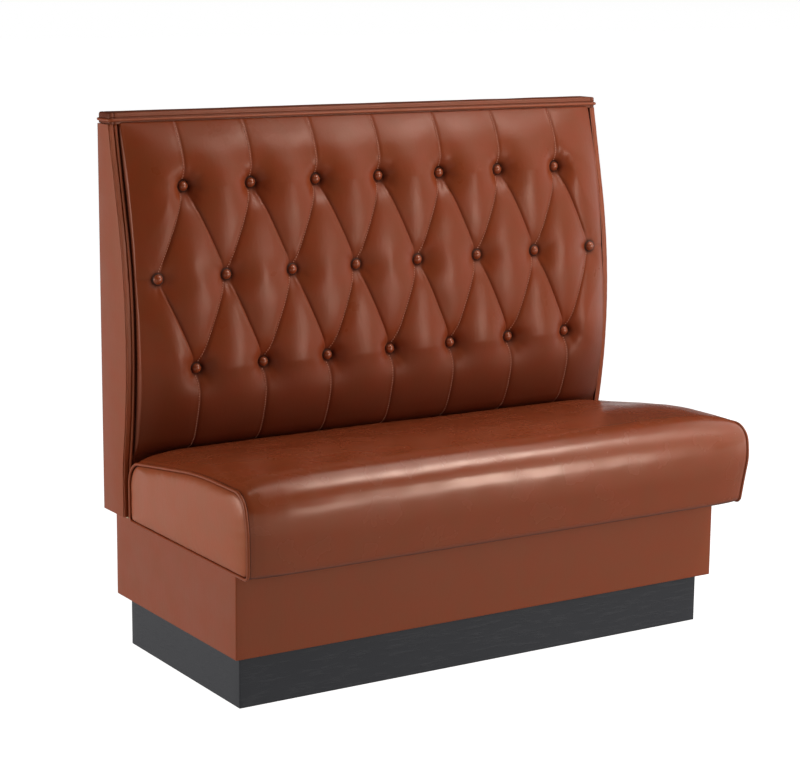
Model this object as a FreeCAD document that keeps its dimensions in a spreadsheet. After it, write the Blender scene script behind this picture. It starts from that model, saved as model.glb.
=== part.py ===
import FreeCAD, Part
import math
import os
from types import SimpleNamespace

import Sketcher

V = FreeCAD.Vector

# Driving dimensions in millimetres and degrees. X runs along the booth, -Y is its front, +Z is up.
# The origin is on the floor under the middle of the bounding box. Values along Y are places.
SIZES = {
    "board": 18,
    "panel": 12,
    "skin": 1.2,
    "plinth_length": 1084,
    "plinth_front": -188,
    "plinth_rear": 269,
    "plinth_top": 104,
    "glide_height": 2,
    "glide_radius": 12,
    "block": 40,
    "base_length": 1122,
    "base_front": -211,
    "base_rear": 294,
    "base_top": 275,
    "rib_place": 187,
    "vent_radius": 30,
    "vent_place": 370,
    "screw_radius": 2,
    "screw_length": 40,
    "seat_length": 1140,
    "seat_rear": 203,
    "seat_rear_height": 394.6,
    "seat_break": -103,
    "seat_height": 435.5,
    "seat_nose": -275,
    "seat_foot": -289,
    "crown_rear": 201,
    "crown_rear_height": 414,
    "crown_break": -110,
    "crown_height": 457,
    "crown_nose": -303.5,
    "crown_foot": -296,
    "seat_frame_length": 1112,
    "seat_frame_front": -268,
    "seat_frame_rear": 186,
    "seat_rail": 22,
    "seat_rail_height": 75,
    "seat_cavity_top": 384,
    "spring_wire": 1.8,
    "spring_turn": 12,
    "spring_run": 14,
    "spring_spacing": 126,
    "clip_height": 8,
    "boxing": 5,
    "seat_welt": 3,
    "clip_metal": 2.5,
    "clip_width": 40,
    "clip_spacing": 700,
    "back_length": 1166,
    "back_rear": 302,
    "back_foot": 211,
    "back_foot_height": 386,
    "back_bulge": 165.7,
    "back_bulge_height": 644,
    "back_top_front": 254.1,
    "back_top": 1046,
    "back_bottom": 282,
    "back_foot_radius": 170,
    "back_bulge_radius": 1200,
    "end_panel": 12,
    "end_cover": 4,
    "border": 3,
    "border_width": 13,
    "first_foam": 6,
    "tufting_board": 6,
    "rear_panel": 5,
    "back_welt": 2.5,
    "cushion_foot": 400,
    "button_pitch": 148.4,
    "button_radius": 12,
    "top_row_height": 926,
    "middle_row_height": 753,
    "bottom_row_height": 575,
    "top_row_depth": 214,
    "middle_row_depth": 177,
    "bottom_row_depth": 164,
    "cap_length": 1156,
    "cap_front": 252,
    "cap_top": 1067,
    "cap_welt": 3,
    "bolt_radius": 4,
    "bolt_place": 420,
}

doc = FreeCAD.newDocument("booth")
sheet = doc.addObject("Spreadsheet::Sheet", "Dim")
for row, (alias, value) in enumerate(SIZES.items(), start=1):
    sheet.set(f"A{row}", alias)
    sheet.set(f"B{row}", str(value))
    sheet.setAlias(f"B{row}", alias)
doc.recompute()


class Size:
    """A length that carries its number and the expression that binds it to the sheet."""

    def __init__(self, value, text):
        self.value = value
        self.text = text

    def __add__(self, other):
        other = as_size(other)
        return Size(self.value + other.value, f"({self.text} + {other.text})")

    def __sub__(self, other):
        other = as_size(other)
        return Size(self.value - other.value, f"({self.text} - {other.text})")

    def __mul__(self, factor):
        return Size(self.value * factor, f"({self.text} * {factor})")

    def __truediv__(self, factor):
        return Size(self.value / factor, f"({self.text} / {factor})")

    def __neg__(self):
        return Size(-self.value, f"(-1 * {self.text})")


def as_size(number):
    return number if isinstance(number, Size) else Size(float(number), f"({float(number)})")


D = SimpleNamespace(**{alias: Size(float(sheet.get(alias)), f"Dim.{alias}") for alias in SIZES})
PIECES = {}


def bind(thing, name, size):
    size = as_size(size)
    setattr(thing, name, size.value)
    thing.setExpression(name, size.text)


def place(thing, x=0, y=0, z=0, rotation=FreeCAD.Rotation()):
    """Put an object at bound coordinates, turned by a fixed rotation."""
    spot = [as_size(value) for value in (x, y, z)]
    thing.Placement = FreeCAD.Placement(V(*[size.value for size in spot]), rotation)
    for axis, size in zip("xyz", spot):
        thing.setExpression(f"Placement.Base.{axis}", size.text)


def keep(label, thing):
    """Name a finished sub-part, which is written out under that name."""
    if label in PIECES:
        PIECES[label].Label = label + "_blank"
    thing.Label = label
    PIECES[label] = thing
    return thing


def box(name, x, y, z):
    """A block between two bound places along each axis."""
    block = doc.addObject("Part::Box", name)
    low = []
    for side, (start, end) in zip(("Length", "Width", "Height"), (x, y, z)):
        bind(block, side, as_size(end) - start)
        low.append(start)
    place(block, *low)
    return block


def board(label, x, y, z):
    return keep(label, box(label, x, y, z))


TURN = {
    "x": FreeCAD.Rotation(V(0, 1, 0), 90),
    "y": FreeCAD.Rotation(V(1, 0, 0), -90),
    "z": FreeCAD.Rotation(),
}


def rod(name, radius, length, axis, x, y, z):
    cylinder = doc.addObject("Part::Cylinder", name)
    bind(cylinder, "Radius", radius)
    bind(cylinder, "Height", length)
    place(cylinder, x, y, z, TURN[axis])
    return cylinder


def group(name, members):
    compound = doc.addObject("Part::Compound", name)
    compound.Links = members
    return compound


def fuse(name, members):
    joined = doc.addObject("Part::MultiFuse", name)
    joined.Shapes = members
    return joined


def cut(name, base, tool):
    result = doc.addObject("Part::Cut", name)
    result.Base = base
    result.Tool = tool
    return result


def drill(tool, *labels):
    """Give the named sub-parts the holes that a fastener or tie goes through."""
    for label in labels:
        keep(label, cut(label + "_drilled", PIECES[label], tool))


def origin_feature(body, role):
    return next(feature for feature in body.Origin.OriginFeatures if feature.Role == role)


def draw_outline(sketch, corners):
    """A closed outline of straight lines whose corners are held by bound coordinates."""
    points = [V(as_size(u).value, as_size(v).value, 0) for u, v in corners]
    count = len(points)
    for index in range(count):
        sketch.addGeometry(Part.LineSegment(points[index], points[(index + 1) % count]))
    for index in range(count):
        sketch.addConstraint(Sketcher.Constraint("Coincident", index, 2, (index + 1) % count, 1))
    for index, (u, v) in enumerate(corners):
        for kind, size in (("DistanceX", as_size(u)), ("DistanceY", as_size(v))):
            constraint = Sketcher.Constraint(kind, -1, 1, index, 1, size.value)
            number = sketch.addConstraint(constraint)
            sketch.setExpression(f"Constraints[{number}]", size.text)


def sketched_body(name, role, corners, start=0):
    body = doc.addObject("PartDesign::Body", name)
    body.AllowCompound = True
    sketch = body.newObject("Sketcher::SketchObject", name + "_sketch")
    sketch.AttachmentSupport = [(origin_feature(body, role), "")]
    sketch.MapMode = "FlatFace"
    sketch.setExpression("AttachmentOffset.Base.z", as_size(start).text)
    draw_outline(sketch, corners)
    return body, sketch


def pad(name, role, corners, start, depth):
    """A body whose outline is extruded from a bound distance off an origin plane."""
    body, sketch = sketched_body(name, role, corners, start)
    feature = body.newObject("PartDesign::Pad", name + "_pad")
    feature.Profile = sketch
    bind(feature, "Length", depth)
    body.Tip = feature
    return body


def turned(name, corners):
    """A body revolved round its own Z axis from corners given as radius and height."""
    body, sketch = sketched_body(name, "XZ_Plane", corners)
    feature = body.newObject("PartDesign::Revolution", name + "_revolution")
    feature.Profile = sketch
    feature.ReferenceAxis = (sketch, ["V_Axis"])
    feature.Angle = 360
    body.Tip = feature
    return body


def repeat_along_x(body, length, count):
    original = body.Tip
    pattern = body.newObject("PartDesign::LinearPattern", body.Name + "_pattern")
    pattern.Originals = [original]
    pattern.Direction = (origin_feature(body, "X_Axis"), [""])
    bind(pattern, "Length", length)
    pattern.Occurrences = count
    body.Tip = pattern
    return body


def round_edges(body, radius, chosen):
    """Round those straight edges along X whose middle passes the test on Y and Z."""
    doc.recompute()
    names = []
    for number, edge in enumerate(body.Shape.Edges, start=1):
        direction = edge.tangentAt(edge.FirstParameter)
        middle = edge.CenterOfMass
        if abs(direction.x) > 0.99 and chosen(middle.y, middle.z):
            names.append(f"Edge{number}")
    base = body.Tip
    fillet = body.newObject("PartDesign::Fillet", body.Name + "_fillet")
    fillet.Base = (base, names)
    bind(fillet, "Radius", radius)
    body.Tip = fillet


def rounded_path(corners, closed=False):
    """Straight runs with a tangent arc at each corner that has a radius, as one wire."""
    points = [V(*spot) for spot, _ in corners]
    radii = [radius for _, radius in corners]
    count = len(points)
    entry = {}
    edges = []
    inner = range(count) if closed else range(1, count - 1)
    for index in inner:
        here = points[index]
        before = (points[index - 1] - here).normalize()
        after = (points[(index + 1) % count] - here).normalize()
        half_turn = (math.pi - before.getAngle(after)) / 2
        reach = radii[index] * math.tan(half_turn)
        bisector = (before + after).normalize()
        depth = radii[index] / math.cos(half_turn) - radii[index]
        entry[index] = (here + before * reach, here + bisector * depth, here + after * reach)
    last = count if closed else count - 1
    for index in range(last):
        following = (index + 1) % count
        start = entry[index][2] if index in entry else points[index]
        end = entry[following][0] if following in entry else points[following]
        edges.append(Part.LineSegment(start, end).toShape())
        if following in entry:
            edges.append(Part.Arc(*entry[following]).toShape())
    return Part.Wire(edges)


def feature(label, shape):
    """A sub-part whose form no sketch or primitive gives."""
    thing = doc.addObject("Part::Feature", label)
    thing.Shape = shape
    thing.Placement = FreeCAD.Placement()
    return keep(label, thing)


def cord(path, radius):
    """A round cord of one radius along a smooth wire."""
    start = path.OrderedVertexes[0].Point
    direction = path.OrderedEdges[0].tangentAt(path.OrderedEdges[0].FirstParameter)
    if (path.OrderedEdges[0].valueAt(path.OrderedEdges[0].FirstParameter) - start).Length > 1e-6:
        direction = direction * -1
    section = Part.Wire([Part.makeCircle(radius, start, direction)])
    return path.makePipeShell([section], True, False)


def mirrored_pair(name, build):
    """Build a left and a right piece, where side is -1 on the left and 1 on the right."""
    for word, side in (("left", -1), ("right", 1)):
        build(f"{name}".replace("SIDE", word), side)


def span(side, near, far):
    """The places along X of a piece between two distances from the middle, on one side."""
    return (near, far) if side > 0 else (-as_size(far), -as_size(near))


def ring(label, half, front, rear, low, high, skin):
    outer = box(label + "_outer", (-half, half), (front, rear), (low, high))
    inner = box(label + "_inner", (-half + skin, half - skin), (front + skin, rear - skin), (low, high))
    return keep(label, cut(label, outer, inner))


def plinth():
    """The dark recessed toe kick: four boards, cross members and blocks on six glides."""
    half = D.plinth_length / 2 - D.skin
    front = D.plinth_front + D.skin
    rear = D.plinth_rear - D.skin
    height = (D.glide_height, D.plinth_top)
    board("plinth_front_board", (-half, half), (front, front + D.board), height)
    board("plinth_rear_board", (-half, half), (rear - D.board, rear), height)
    depth = (front + D.board, rear - D.board)

    def side_board(label, side):
        board(label, span(side, half - D.board, half), depth, height)

    mirrored_pair("plinth_SIDE_board", side_board)
    ribs = [
        box("plinth_rib", (place_x - D.board / 2, place_x + D.board / 2), depth, height)
        for place_x in (-D.rib_place, D.rib_place)
    ]
    keep("plinth_cross_members", group("plinth_cross_members", ribs))
    reach = half - D.board
    blocks = []
    glides = []
    for low_y in (front + D.board, rear - D.board - D.block):
        for low_x in (-reach, -D.block / 2, reach - D.block):
            blocks.append(box("plinth_block", (low_x, low_x + D.block), (low_y, low_y + D.block), height))
            nail = turned("glide", [
                (0, 0), (D.glide_radius, 0), (D.glide_radius, D.glide_height),
                (1.5, D.glide_height), (1.5, 16), (0, 18),
            ])
            place(nail, low_x + D.block / 2, low_y + D.block / 2, 0)
            glides.append(nail)
    keep("plinth_corner_blocks", group("plinth_corner_blocks", blocks))
    keep("floor_glides", group("floor_glides", glides))
    drill(PIECES["floor_glides"], "plinth_corner_blocks")
    ring("plinth_cover", D.plinth_length / 2, D.plinth_front, D.plinth_rear, *height, D.skin)


def base():
    """The plain vinyl-covered box on the plinth, closed by a vented deck."""
    half = D.base_length / 2 - D.skin
    front = D.base_front + D.skin
    rear = D.base_rear - D.skin
    low = D.plinth_top + D.panel
    high = D.base_top - D.panel
    board("base_floor_panel", (-half, half), (front, rear), (D.plinth_top, low))
    board("base_front_board", (-half, half), (front, front + D.board), (low, high))
    board("base_rear_board", (-half, half), (rear - D.board, rear), (low, high))
    depth = (front + D.board, rear - D.board)

    def side_board(label, side):
        board(label, span(side, half - D.board, half), depth, (low, high))

    mirrored_pair("base_SIDE_board", side_board)
    ribs = [
        box("base_rib", (place_x - D.board / 2, place_x + D.board / 2), depth, (low, high))
        for place_x in (-D.rib_place, D.rib_place)
    ]
    keep("base_cross_ribs", group("base_cross_ribs", ribs))
    deck = box("base_deck_sheet", (-half, half), (front, rear), (high, D.base_top))
    vents = group("deck_vents", [
        rod("deck_vent", D.vent_radius, D.panel * 3, "z", place_x, 0, high - D.panel)
        for place_x in (-D.vent_place, as_size(0), D.vent_place)
    ])
    keep("base_deck", cut("base_deck", deck, vents))
    ring("base_cover", D.base_length / 2, D.base_front, D.base_rear, D.plinth_top, D.base_top, D.skin)

    screws = []
    for place_y in (front + D.board / 2, rear - D.board / 2):
        screw = turned("base_screw", [
            (0, -D.screw_length), (D.screw_radius, -D.screw_length + 4), (D.screw_radius, -4),
            (4, 0), (0, 0),
        ])
        repeat_along_x(screw, D.vent_place * 2, 5)
        place(screw, -D.vent_place, place_y, D.base_top)
        screws.append(screw)
    keep("deck_screws", group("deck_screws", screws))
    drill(PIECES["deck_screws"], "base_deck", "base_front_board", "base_rear_board")


def seat_outline(share, inset=0.0):
    """The seat seen from its end, from the sewn edge at share 0 to the crown at share 1."""
    edge = (
        (D.seat_rear, D.base_top, 8),
        (D.seat_rear, D.seat_rear_height, 40),
        (D.seat_break, D.seat_height, 900),
        (D.seat_nose, D.seat_height, 28),
        (D.seat_foot, D.base_top, 14),
    )
    crown = (
        (D.crown_rear, D.base_top, 8),
        (D.crown_rear, D.crown_rear_height, 42),
        (D.crown_break, D.crown_height, 900),
        (D.crown_nose, D.crown_height, 52),
        (D.crown_foot, D.base_top, 12),
    )
    outline = []
    for low, high in zip(edge, crown):
        y, z, radius = (
            start + share * (end - start)
            for start, end in zip(
                (low[0].value, low[1].value, low[2]), (high[0].value, high[1].value, high[2])
            )
        )
        outline.append((y, z, radius))
    middle = (outline[0][0] + outline[3][0]) / 2
    ceiling = (D.seat_height.value + D.base_top.value) / 2
    moved = []
    for y, z, radius in outline:
        y += -inset if y > middle else inset
        z += -inset if z > ceiling else inset
        moved.append((y, z, radius))
    moved[2] = (outline[2][0], moved[2][1], moved[2][2])
    return moved


def seat_section(x, share, inset=0.0):
    corners = [((x, y, z), radius) for y, z, radius in seat_outline(share, inset)]
    return rounded_path(corners, closed=True)


def seat_springs(half, front, rear, level):
    """Sinuous springs from the front rail to the rear rail, each end run held in a clip."""
    wire = D.spring_wire.value
    turn = D.spring_turn.value
    run = D.spring_run.value
    first = front + D.seat_rail.value / 2
    last = rear - D.seat_rail.value / 2
    runs = int((last - first) / (2 * turn)) + 1
    first += ((last - first) - (runs - 1) * 2 * turn) / 2
    edges = []
    for number in range(runs):
        y = first + number * 2 * turn
        way = 1 if number % 2 == 0 else -1
        start = V(-way * run, y, level)
        end = V(way * run, y, level)
        edges.append(Part.LineSegment(start, end).toShape())
        if number < runs - 1:
            middle = V(way * (run + turn), y + turn, level)
            edges.append(Part.Arc(end, middle, V(way * run, y + 2 * turn, level)).toShape())
    spring = cord(Part.Wire(edges), wire)
    places = [(number - 3.5) * D.spring_spacing.value for number in range(8)]
    copies = [spring.translated(V(x, 0, 0)) for x in places]
    clips = []
    for x in places:
        for y in (first, first + (runs - 1) * 2 * turn):
            corner = V(x - 8, y - 6, level - D.clip_height.value / 2)
            block = Part.makeBox(16, 12, D.clip_height.value, corner)
            clips.append(block.cut(Part.makeCylinder(wire, 16, V(x - 8, y, level), V(1, 0, 0))))
    feature("seat_springs", Part.makeCompound(copies))
    feature("spring_clips", Part.makeCompound(clips))


def seat():
    """The sprung seat unit, which is a framed box with its own crowned cover."""
    half = D.seat_frame_length / 2
    front = D.seat_frame_front
    rear = D.seat_frame_rear
    low = D.base_top
    high = D.base_top + D.seat_rail_height
    rail = D.seat_rail
    board("seat_front_rail", (-half, half), (front, front + rail), (low, high))
    board("seat_rear_rail", (-half, half), (rear - rail, rear), (low, high))
    depth = (front + rail, rear - rail)

    def side_rail(label, side):
        board(label, span(side, half - rail, half), depth, (low, high))

    mirrored_pair("seat_SIDE_rail", side_rail)
    cross = [
        box("seat_cross", (place_x - rail / 2, place_x + rail / 2), depth, (low + 26, low + 60))
        for place_x in (-D.rib_place, D.rib_place)
    ]
    keep("seat_cross_rails", group("seat_cross_rails", cross))
    board("seat_dust_cover", (-half + rail, half - rail), depth, (low + 25, low + 26))
    level = high.value + D.clip_height.value / 2
    seat_springs(half.value, front.value, rear.value, level)
    pad_low = high + D.clip_height
    board("seat_insulator_felt", (-half, half), (front, rear), (pad_low, pad_low + 3))
    board("seat_foam", (-half, half), (front, rear), (pad_low + 3, D.seat_cavity_top))

    edge = D.seat_length.value / 2
    stations = (
        (-edge, 0), (-edge + 8, 0.35), (-edge + 25, 0.65), (-edge + 70, 0.87), (-edge + 170, 0.96),
        (0, 1),
        (edge - 170, 0.96), (edge - 70, 0.87), (edge - 25, 0.65), (edge - 8, 0.35), (edge, 0),
    )
    form = Part.makeLoft([seat_section(x, share) for x, share in stations], True, True)
    cavity = Part.makeBox(
        2 * half.value, rear.value - front.value, D.seat_cavity_top.value - low.value,
        V(-half.value, front.value, low.value),
    )
    feature("seat_cover", form.cut(cavity))

    welt = D.seat_welt.value

    def boxing(label, side):
        clear = welt + 1.2
        thickness = D.boxing.value
        flat = seat_section(side * edge, 0, clear)
        proud = seat_section(side * (edge + thickness), 0, clear)
        puffed = seat_section(side * (edge + thickness + 2.5), 0, clear + 22)
        feature(label, Part.makeLoft([flat, proud, puffed], True, True))

    def welt_cord(label, side):
        feature(label, cord(seat_section(side * (edge + welt + 0.2), 0, 1), welt))

    mirrored_pair("seat_SIDE_boxing", boxing)
    mirrored_pair("seat_SIDE_welt", welt_cord)

    metal = D.clip_metal
    root = front + rail
    tongue = low + 4
    hook = pad("seat_clips", "YZ_Plane", [
        (root, tongue), (root + 34, tongue), (root + 34, tongue + metal), (root + metal, tongue + metal),
        (root + metal, low + 24), (root, low + 24),
    ], 0, D.clip_width)
    repeat_along_x(hook, D.clip_spacing, 2)
    place(hook, -(D.clip_spacing + D.clip_width) / 2, 0, 0)
    keep("seat_clips", hook)


def deck_clips():
    """Steel keepers on the deck, over the tongues of the seat's own clips."""
    low = D.base_top
    metal = D.clip_metal
    riser = D.seat_frame_front + D.seat_rail + 39
    shelf = low + 7.5
    keeper = pad("deck_clips", "YZ_Plane", [
        (riser, low), (riser + 25, low), (riser + 25, low + metal), (riser + metal, low + metal),
        (riser + metal, shelf + metal), (riser - 21, shelf + metal), (riser - 21, shelf), (riser, shelf),
    ], 0, D.clip_width)
    repeat_along_x(keeper, D.clip_spacing, 2)
    place(keeper, -(D.clip_spacing + D.clip_width) / 2, 0, 0)
    keep("deck_clips", keeper)


def back_front(shift, low, high):
    """Corners of the back's curved front as seen from its end, moved rearwards by a shift."""
    slope = (D.back_top_front.value - D.back_bulge.value) / (D.back_top.value - D.back_bulge_height.value)
    return [
        (D.back_foot + shift, low),
        (D.back_foot + shift, D.back_foot_height),
        (D.back_bulge + shift, D.back_bulge_height),
        (D.back_top_front + shift - (D.back_top - high) * slope, high),
    ]


def near_foot(y, z):
    return abs(z - D.back_foot_height.value) < 2


def near_bulge(y, z):
    return abs(z - D.back_bulge_height.value) < 2 and y < D.back_foot.value


def curved(name, corners, start, depth):
    """A piece cut to the back's curve: its two bends are rounded after it is extruded."""
    body = pad(name, "YZ_Plane", corners, start, depth)
    round_edges(body, D.back_bulge_radius, near_bulge)
    round_edges(body, D.back_foot_radius, near_foot)
    return body


def rib_corners(shift, low, high, rear):
    return back_front(shift, low, high) + [(rear, high), (rear, low)]


def sheet_corners(shift, thickness, low, high):
    front = back_front(shift, low, high)
    behind = back_front(shift + thickness, low, high)
    return front + behind[::-1]


def arc_or_line(x, start, middle, end):
    """An edge at one X, through a middle point given along Y and Z."""
    first, second, third = (V(x, *spot) for spot in (start, middle, end))
    chord = (third - first).normalize()
    if (second - first).cross(chord).Length < 0.05:
        return Part.LineSegment(first, third).toShape()
    return Part.Arc(first, second, third).toShape()


def cushion_section(x, share):
    """The tufted cushion seen from its end, from its sewn edge at share 0 to its crown at 1."""
    top = D.back_top.value
    rear = D.back_rear.value - 30
    foot = D.cushion_foot.value
    edge = [(253, top), (246, 1008), (237, 968), (205, 806), (190, 640), (190.5, 540), (201.5, 440),
            (204, 428), (206, foot + 18), (212, foot)]
    crown = [(248, top), (214, 1008), (198, 968), (163, 806), (141, 640), (134.5, 540), (149, 444),
             (155, 431), (165, foot + 22), (208, foot + 2)]
    spots = [
        (a[0] + share * (b[0] - a[0]), a[1] + share * (b[1] - a[1])) for a, b in zip(edge, crown)
    ]
    edges = []
    for index in range(0, len(spots) - 3, 2):
        edges.append(arc_or_line(x, spots[index], spots[index + 1], spots[index + 2]))
    outline = [spots[-2], spots[-1], (rear, spots[-1][1]), (rear, top), spots[0]]
    for start, end in zip(outline, outline[1:]):
        edges.append(Part.LineSegment(V(x, *start), V(x, *end)).toShape())
    return Part.Wire(edges)


def button_rows():
    """Places of the tufting buttons: the middle row has one more and is half a pitch off."""
    rows = []
    for count, depth, height in (
        (7, D.top_row_depth, D.top_row_height),
        (8, D.middle_row_depth, D.middle_row_height),
        (7, D.bottom_row_depth, D.bottom_row_height),
    ):
        pitch = D.button_pitch.value
        rows.append([
            V((number - (count - 1) / 2) * pitch, depth.value, height.value) for number in range(count)
        ])
    return rows


def pleat_lines():
    """The folds between buttons, up to the cap, down to the seat and out to the ends."""
    upper, middle, lower = button_rows()
    lines = []
    for row in (upper, lower):
        for number, button in enumerate(row):
            lines.append((button, middle[number]))
            lines.append((button, middle[number + 1]))
    for button in upper:
        lines.append((button, V(button.x, 246, D.back_top.value + 6)))
    for button in lower:
        lines.append((button, V(button.x, 172, D.cushion_foot.value + 10)))
    reach = D.seat_length.value / 2
    for button, side in ((middle[0], -1), (middle[-1], 1)):
        lines.append((button, V(side * reach, 192, button.z)))
    return lines


def pleat_groove(start, end):
    """A V-shaped channel that opens to the front along one fold."""
    depth = 60
    spread = 1.25 * depth
    along = (end - start).normalize()
    forward = V(0, -1, 0)
    forward = (forward - along * forward.dot(along)).normalize()
    across = along.cross(forward)
    corners = [start, start + forward * depth + across * spread, start + forward * depth - across * spread]
    face = Part.Face(Part.makePolygon(corners + [start]))
    return face.extrude(end - start)


def button_seat(spot):
    """The dimple round one button: a shallow pocket that opens as a cone, and the tie's hole."""
    forward = V(0, -1, 0)
    floor = V(spot.x, spot.y + 1, spot.z)
    pocket = Part.makeCylinder(D.button_radius.value + 1.5, 4, floor, forward)
    mouth = Part.makeCone(D.button_radius.value + 1.5, 34, 40, V(spot.x, spot.y - 3, spot.z), forward)
    hole = Part.makeCylinder(2.5, 60, V(spot.x, spot.y, spot.z), V(0, 1, 0))
    return [pocket, mouth, hole]


def back_cushion():
    """The deep-buttoned cushion: a crowned form cut by its folds and button dimples."""
    edge = D.back_length.value / 2 - D.end_cover.value - D.end_panel.value - 2
    stations = ((-edge, 0.05), (-edge + 9, 0.5), (-edge + 25, 0.82), (-edge + 55, 1),
                (edge - 55, 1), (edge - 25, 0.82), (edge - 9, 0.5), (edge, 0.05))
    form = Part.makeLoft([cushion_section(x, share) for x, share in stations], True, True)
    behind = curved("cushion_rear", rib_corners(as_size(2), as_size(200), as_size(1200), as_size(400)),
                    -(D.back_length / 2), D.back_length)
    doc.recompute()
    form = form.cut(behind.Shape)
    grooves = [pleat_groove(start, end) for start, end in pleat_lines()]
    dimples = []
    for row in button_rows():
        for spot in row:
            dimples.extend(button_seat(spot))
    form = form.cut(Part.makeCompound(grooves[:28]))
    form = form.cut(Part.makeCompound(grooves[28:]))
    for tool in dimples:
        form = form.cut(tool)
    whole = max(form.Solids, key=lambda solid: solid.Volume)
    feature("back_cushion", whole)


def back_buttons():
    """Covered buttons, and behind each a twine tie with its washer at the back of the board."""
    rows = []
    ties = []
    radius = D.button_radius
    board_back = as_size(2) + D.first_foam + D.tufting_board
    for name, count, depth, height, face in (
        ("top", 7, D.top_row_depth, D.top_row_height, 228),
        ("middle", 8, D.middle_row_depth, D.middle_row_height, 197),
        ("bottom", 7, D.bottom_row_depth, D.bottom_row_height, 192),
    ):
        length = D.button_pitch * (count - 1)
        button = turned(name + "_button", [
            (0, 0), (radius - 1.5, 0), (radius, 1.5), (radius - 1, 4), (radius - 4, 6.3), (0, 7.5),
        ])
        repeat_along_x(button, length, count)
        place(button, -length / 2, depth, height, FreeCAD.Rotation(V(1, 0, 0), 90))
        rows.append(button)
        reach = as_size(face) + board_back + 8 - depth
        tie = turned(name + "_tie", [
            (0, 0), (1.5, 0), (1.5, reach), (9, reach), (9, reach + 3), (0, reach + 3),
        ])
        repeat_along_x(tie, length, count)
        place(tie, -length / 2, depth, height, FreeCAD.Rotation(V(1, 0, 0), -90))
        ties.append(tie)
    keep("back_buttons", group("back_buttons", rows))
    keep("button_ties", group("button_ties", ties))
    drill(PIECES["button_ties"], "back_first_foam", "tufting_board")


def back():
    """The back unit: ribs on a bolted rail, a curved board that is tufted, and end panels."""
    outer = D.back_length / 2
    panel_outer = outer - D.end_cover
    panel_inner = panel_outer - D.end_panel
    rib_inner = panel_inner - D.board
    rear = D.back_rear - D.skin - D.rear_panel
    shift_board = as_size(2) + D.first_foam
    shift_rib = shift_board + D.tufting_board
    rail_top = D.base_top + 22
    rib_top = D.back_top - D.board
    rail_front = D.back_foot + shift_rib

    def rib(label, side):
        corners = rib_corners(shift_rib, D.base_top, rib_top, rear)
        start = rib_inner if side > 0 else -panel_inner
        keep(label, curved(label, corners, start, D.board))

    mirrored_pair("back_SIDE_rib", rib)
    inner = []
    for place_x in (-D.rib_place, D.rib_place):
        corners = rib_corners(shift_rib, rail_top, rib_top, rear)
        inner.append(curved("back_inner_rib", corners, place_x - D.board / 2, D.board))
    keep("back_inner_ribs", group("back_inner_ribs", inner))
    board("back_bottom_rail", (-rib_inner, rib_inner), (rail_front, rear), (D.base_top, rail_top))
    top_rail_depth = (D.back_top_front + shift_rib, rear)
    board("back_top_rail", (-panel_inner, panel_inner), top_rail_depth, (rib_top, D.back_top))
    bays = (
        (-rib_inner, -D.rib_place - D.board / 2),
        (-D.rib_place + D.board / 2, D.rib_place - D.board / 2),
        (D.rib_place + D.board / 2, rib_inner),
    )
    blocking = [
        box("back_block", bay, (rear - 45, rear - 45 + D.board), (low, low + 70))
        for low in (as_size(430), as_size(640), as_size(840))
        for bay in bays
    ]
    keep("back_blocking", group("back_blocking", blocking))

    foot = D.cushion_foot - 35
    for label, shift, thickness in (
        ("back_first_foam", as_size(2), D.first_foam),
        ("tufting_board", shift_board, D.tufting_board),
    ):
        corners = sheet_corners(shift, thickness, foot, D.back_top)
        keep(label, curved(label, corners, -panel_inner, panel_inner * 2))

    def end_panel(label, side):
        corners = rib_corners(D.border, D.back_bottom, D.back_top, rear)
        start = panel_inner if side > 0 else -panel_outer
        keep(label, curved(label, corners, start, D.end_panel))

    def end_cover(label, side):
        rear_face = D.back_rear - D.skin
        start = panel_outer if side > 0 else -outer
        corners = rib_corners(as_size(0), D.back_bottom, D.back_top, rear_face)
        flank = curved(label + "_flank", corners, start, D.end_cover)
        start = outer - D.border_width if side > 0 else -outer
        corners = sheet_corners(as_size(0), D.border, D.back_bottom, D.back_top)
        strip = curved(label + "_strip", corners, start, D.border_width)
        keep(label, fuse(label, [flank, strip]))

    def welt_cord(label, side):
        x = side * (outer.value - D.border_width.value - D.back_welt.value)
        spots = back_front(as_size(-1), D.back_bottom + 3, D.back_top - 1)
        radii = (0, D.back_foot_radius.value, D.back_bulge_radius.value, 0)
        corners = [((x, y.value, z.value), radius) for (y, z), radius in zip(spots, radii)]
        feature(label, cord(rounded_path(corners), D.back_welt.value))

    mirrored_pair("back_SIDE_end_panel", end_panel)
    mirrored_pair("back_SIDE_end_cover", end_cover)
    mirrored_pair("back_SIDE_welt", welt_cord)
    height = (D.back_bottom, D.back_top)
    skin_face = rear + D.rear_panel
    board("back_rear_panel", (-panel_outer, panel_outer), (rear, skin_face), height)
    board("back_rear_cover", (-outer, outer), (skin_face, D.back_rear), height)
    back_cushion()
    back_buttons()
    back_fixings(rail_front, rear, rail_top)


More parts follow.
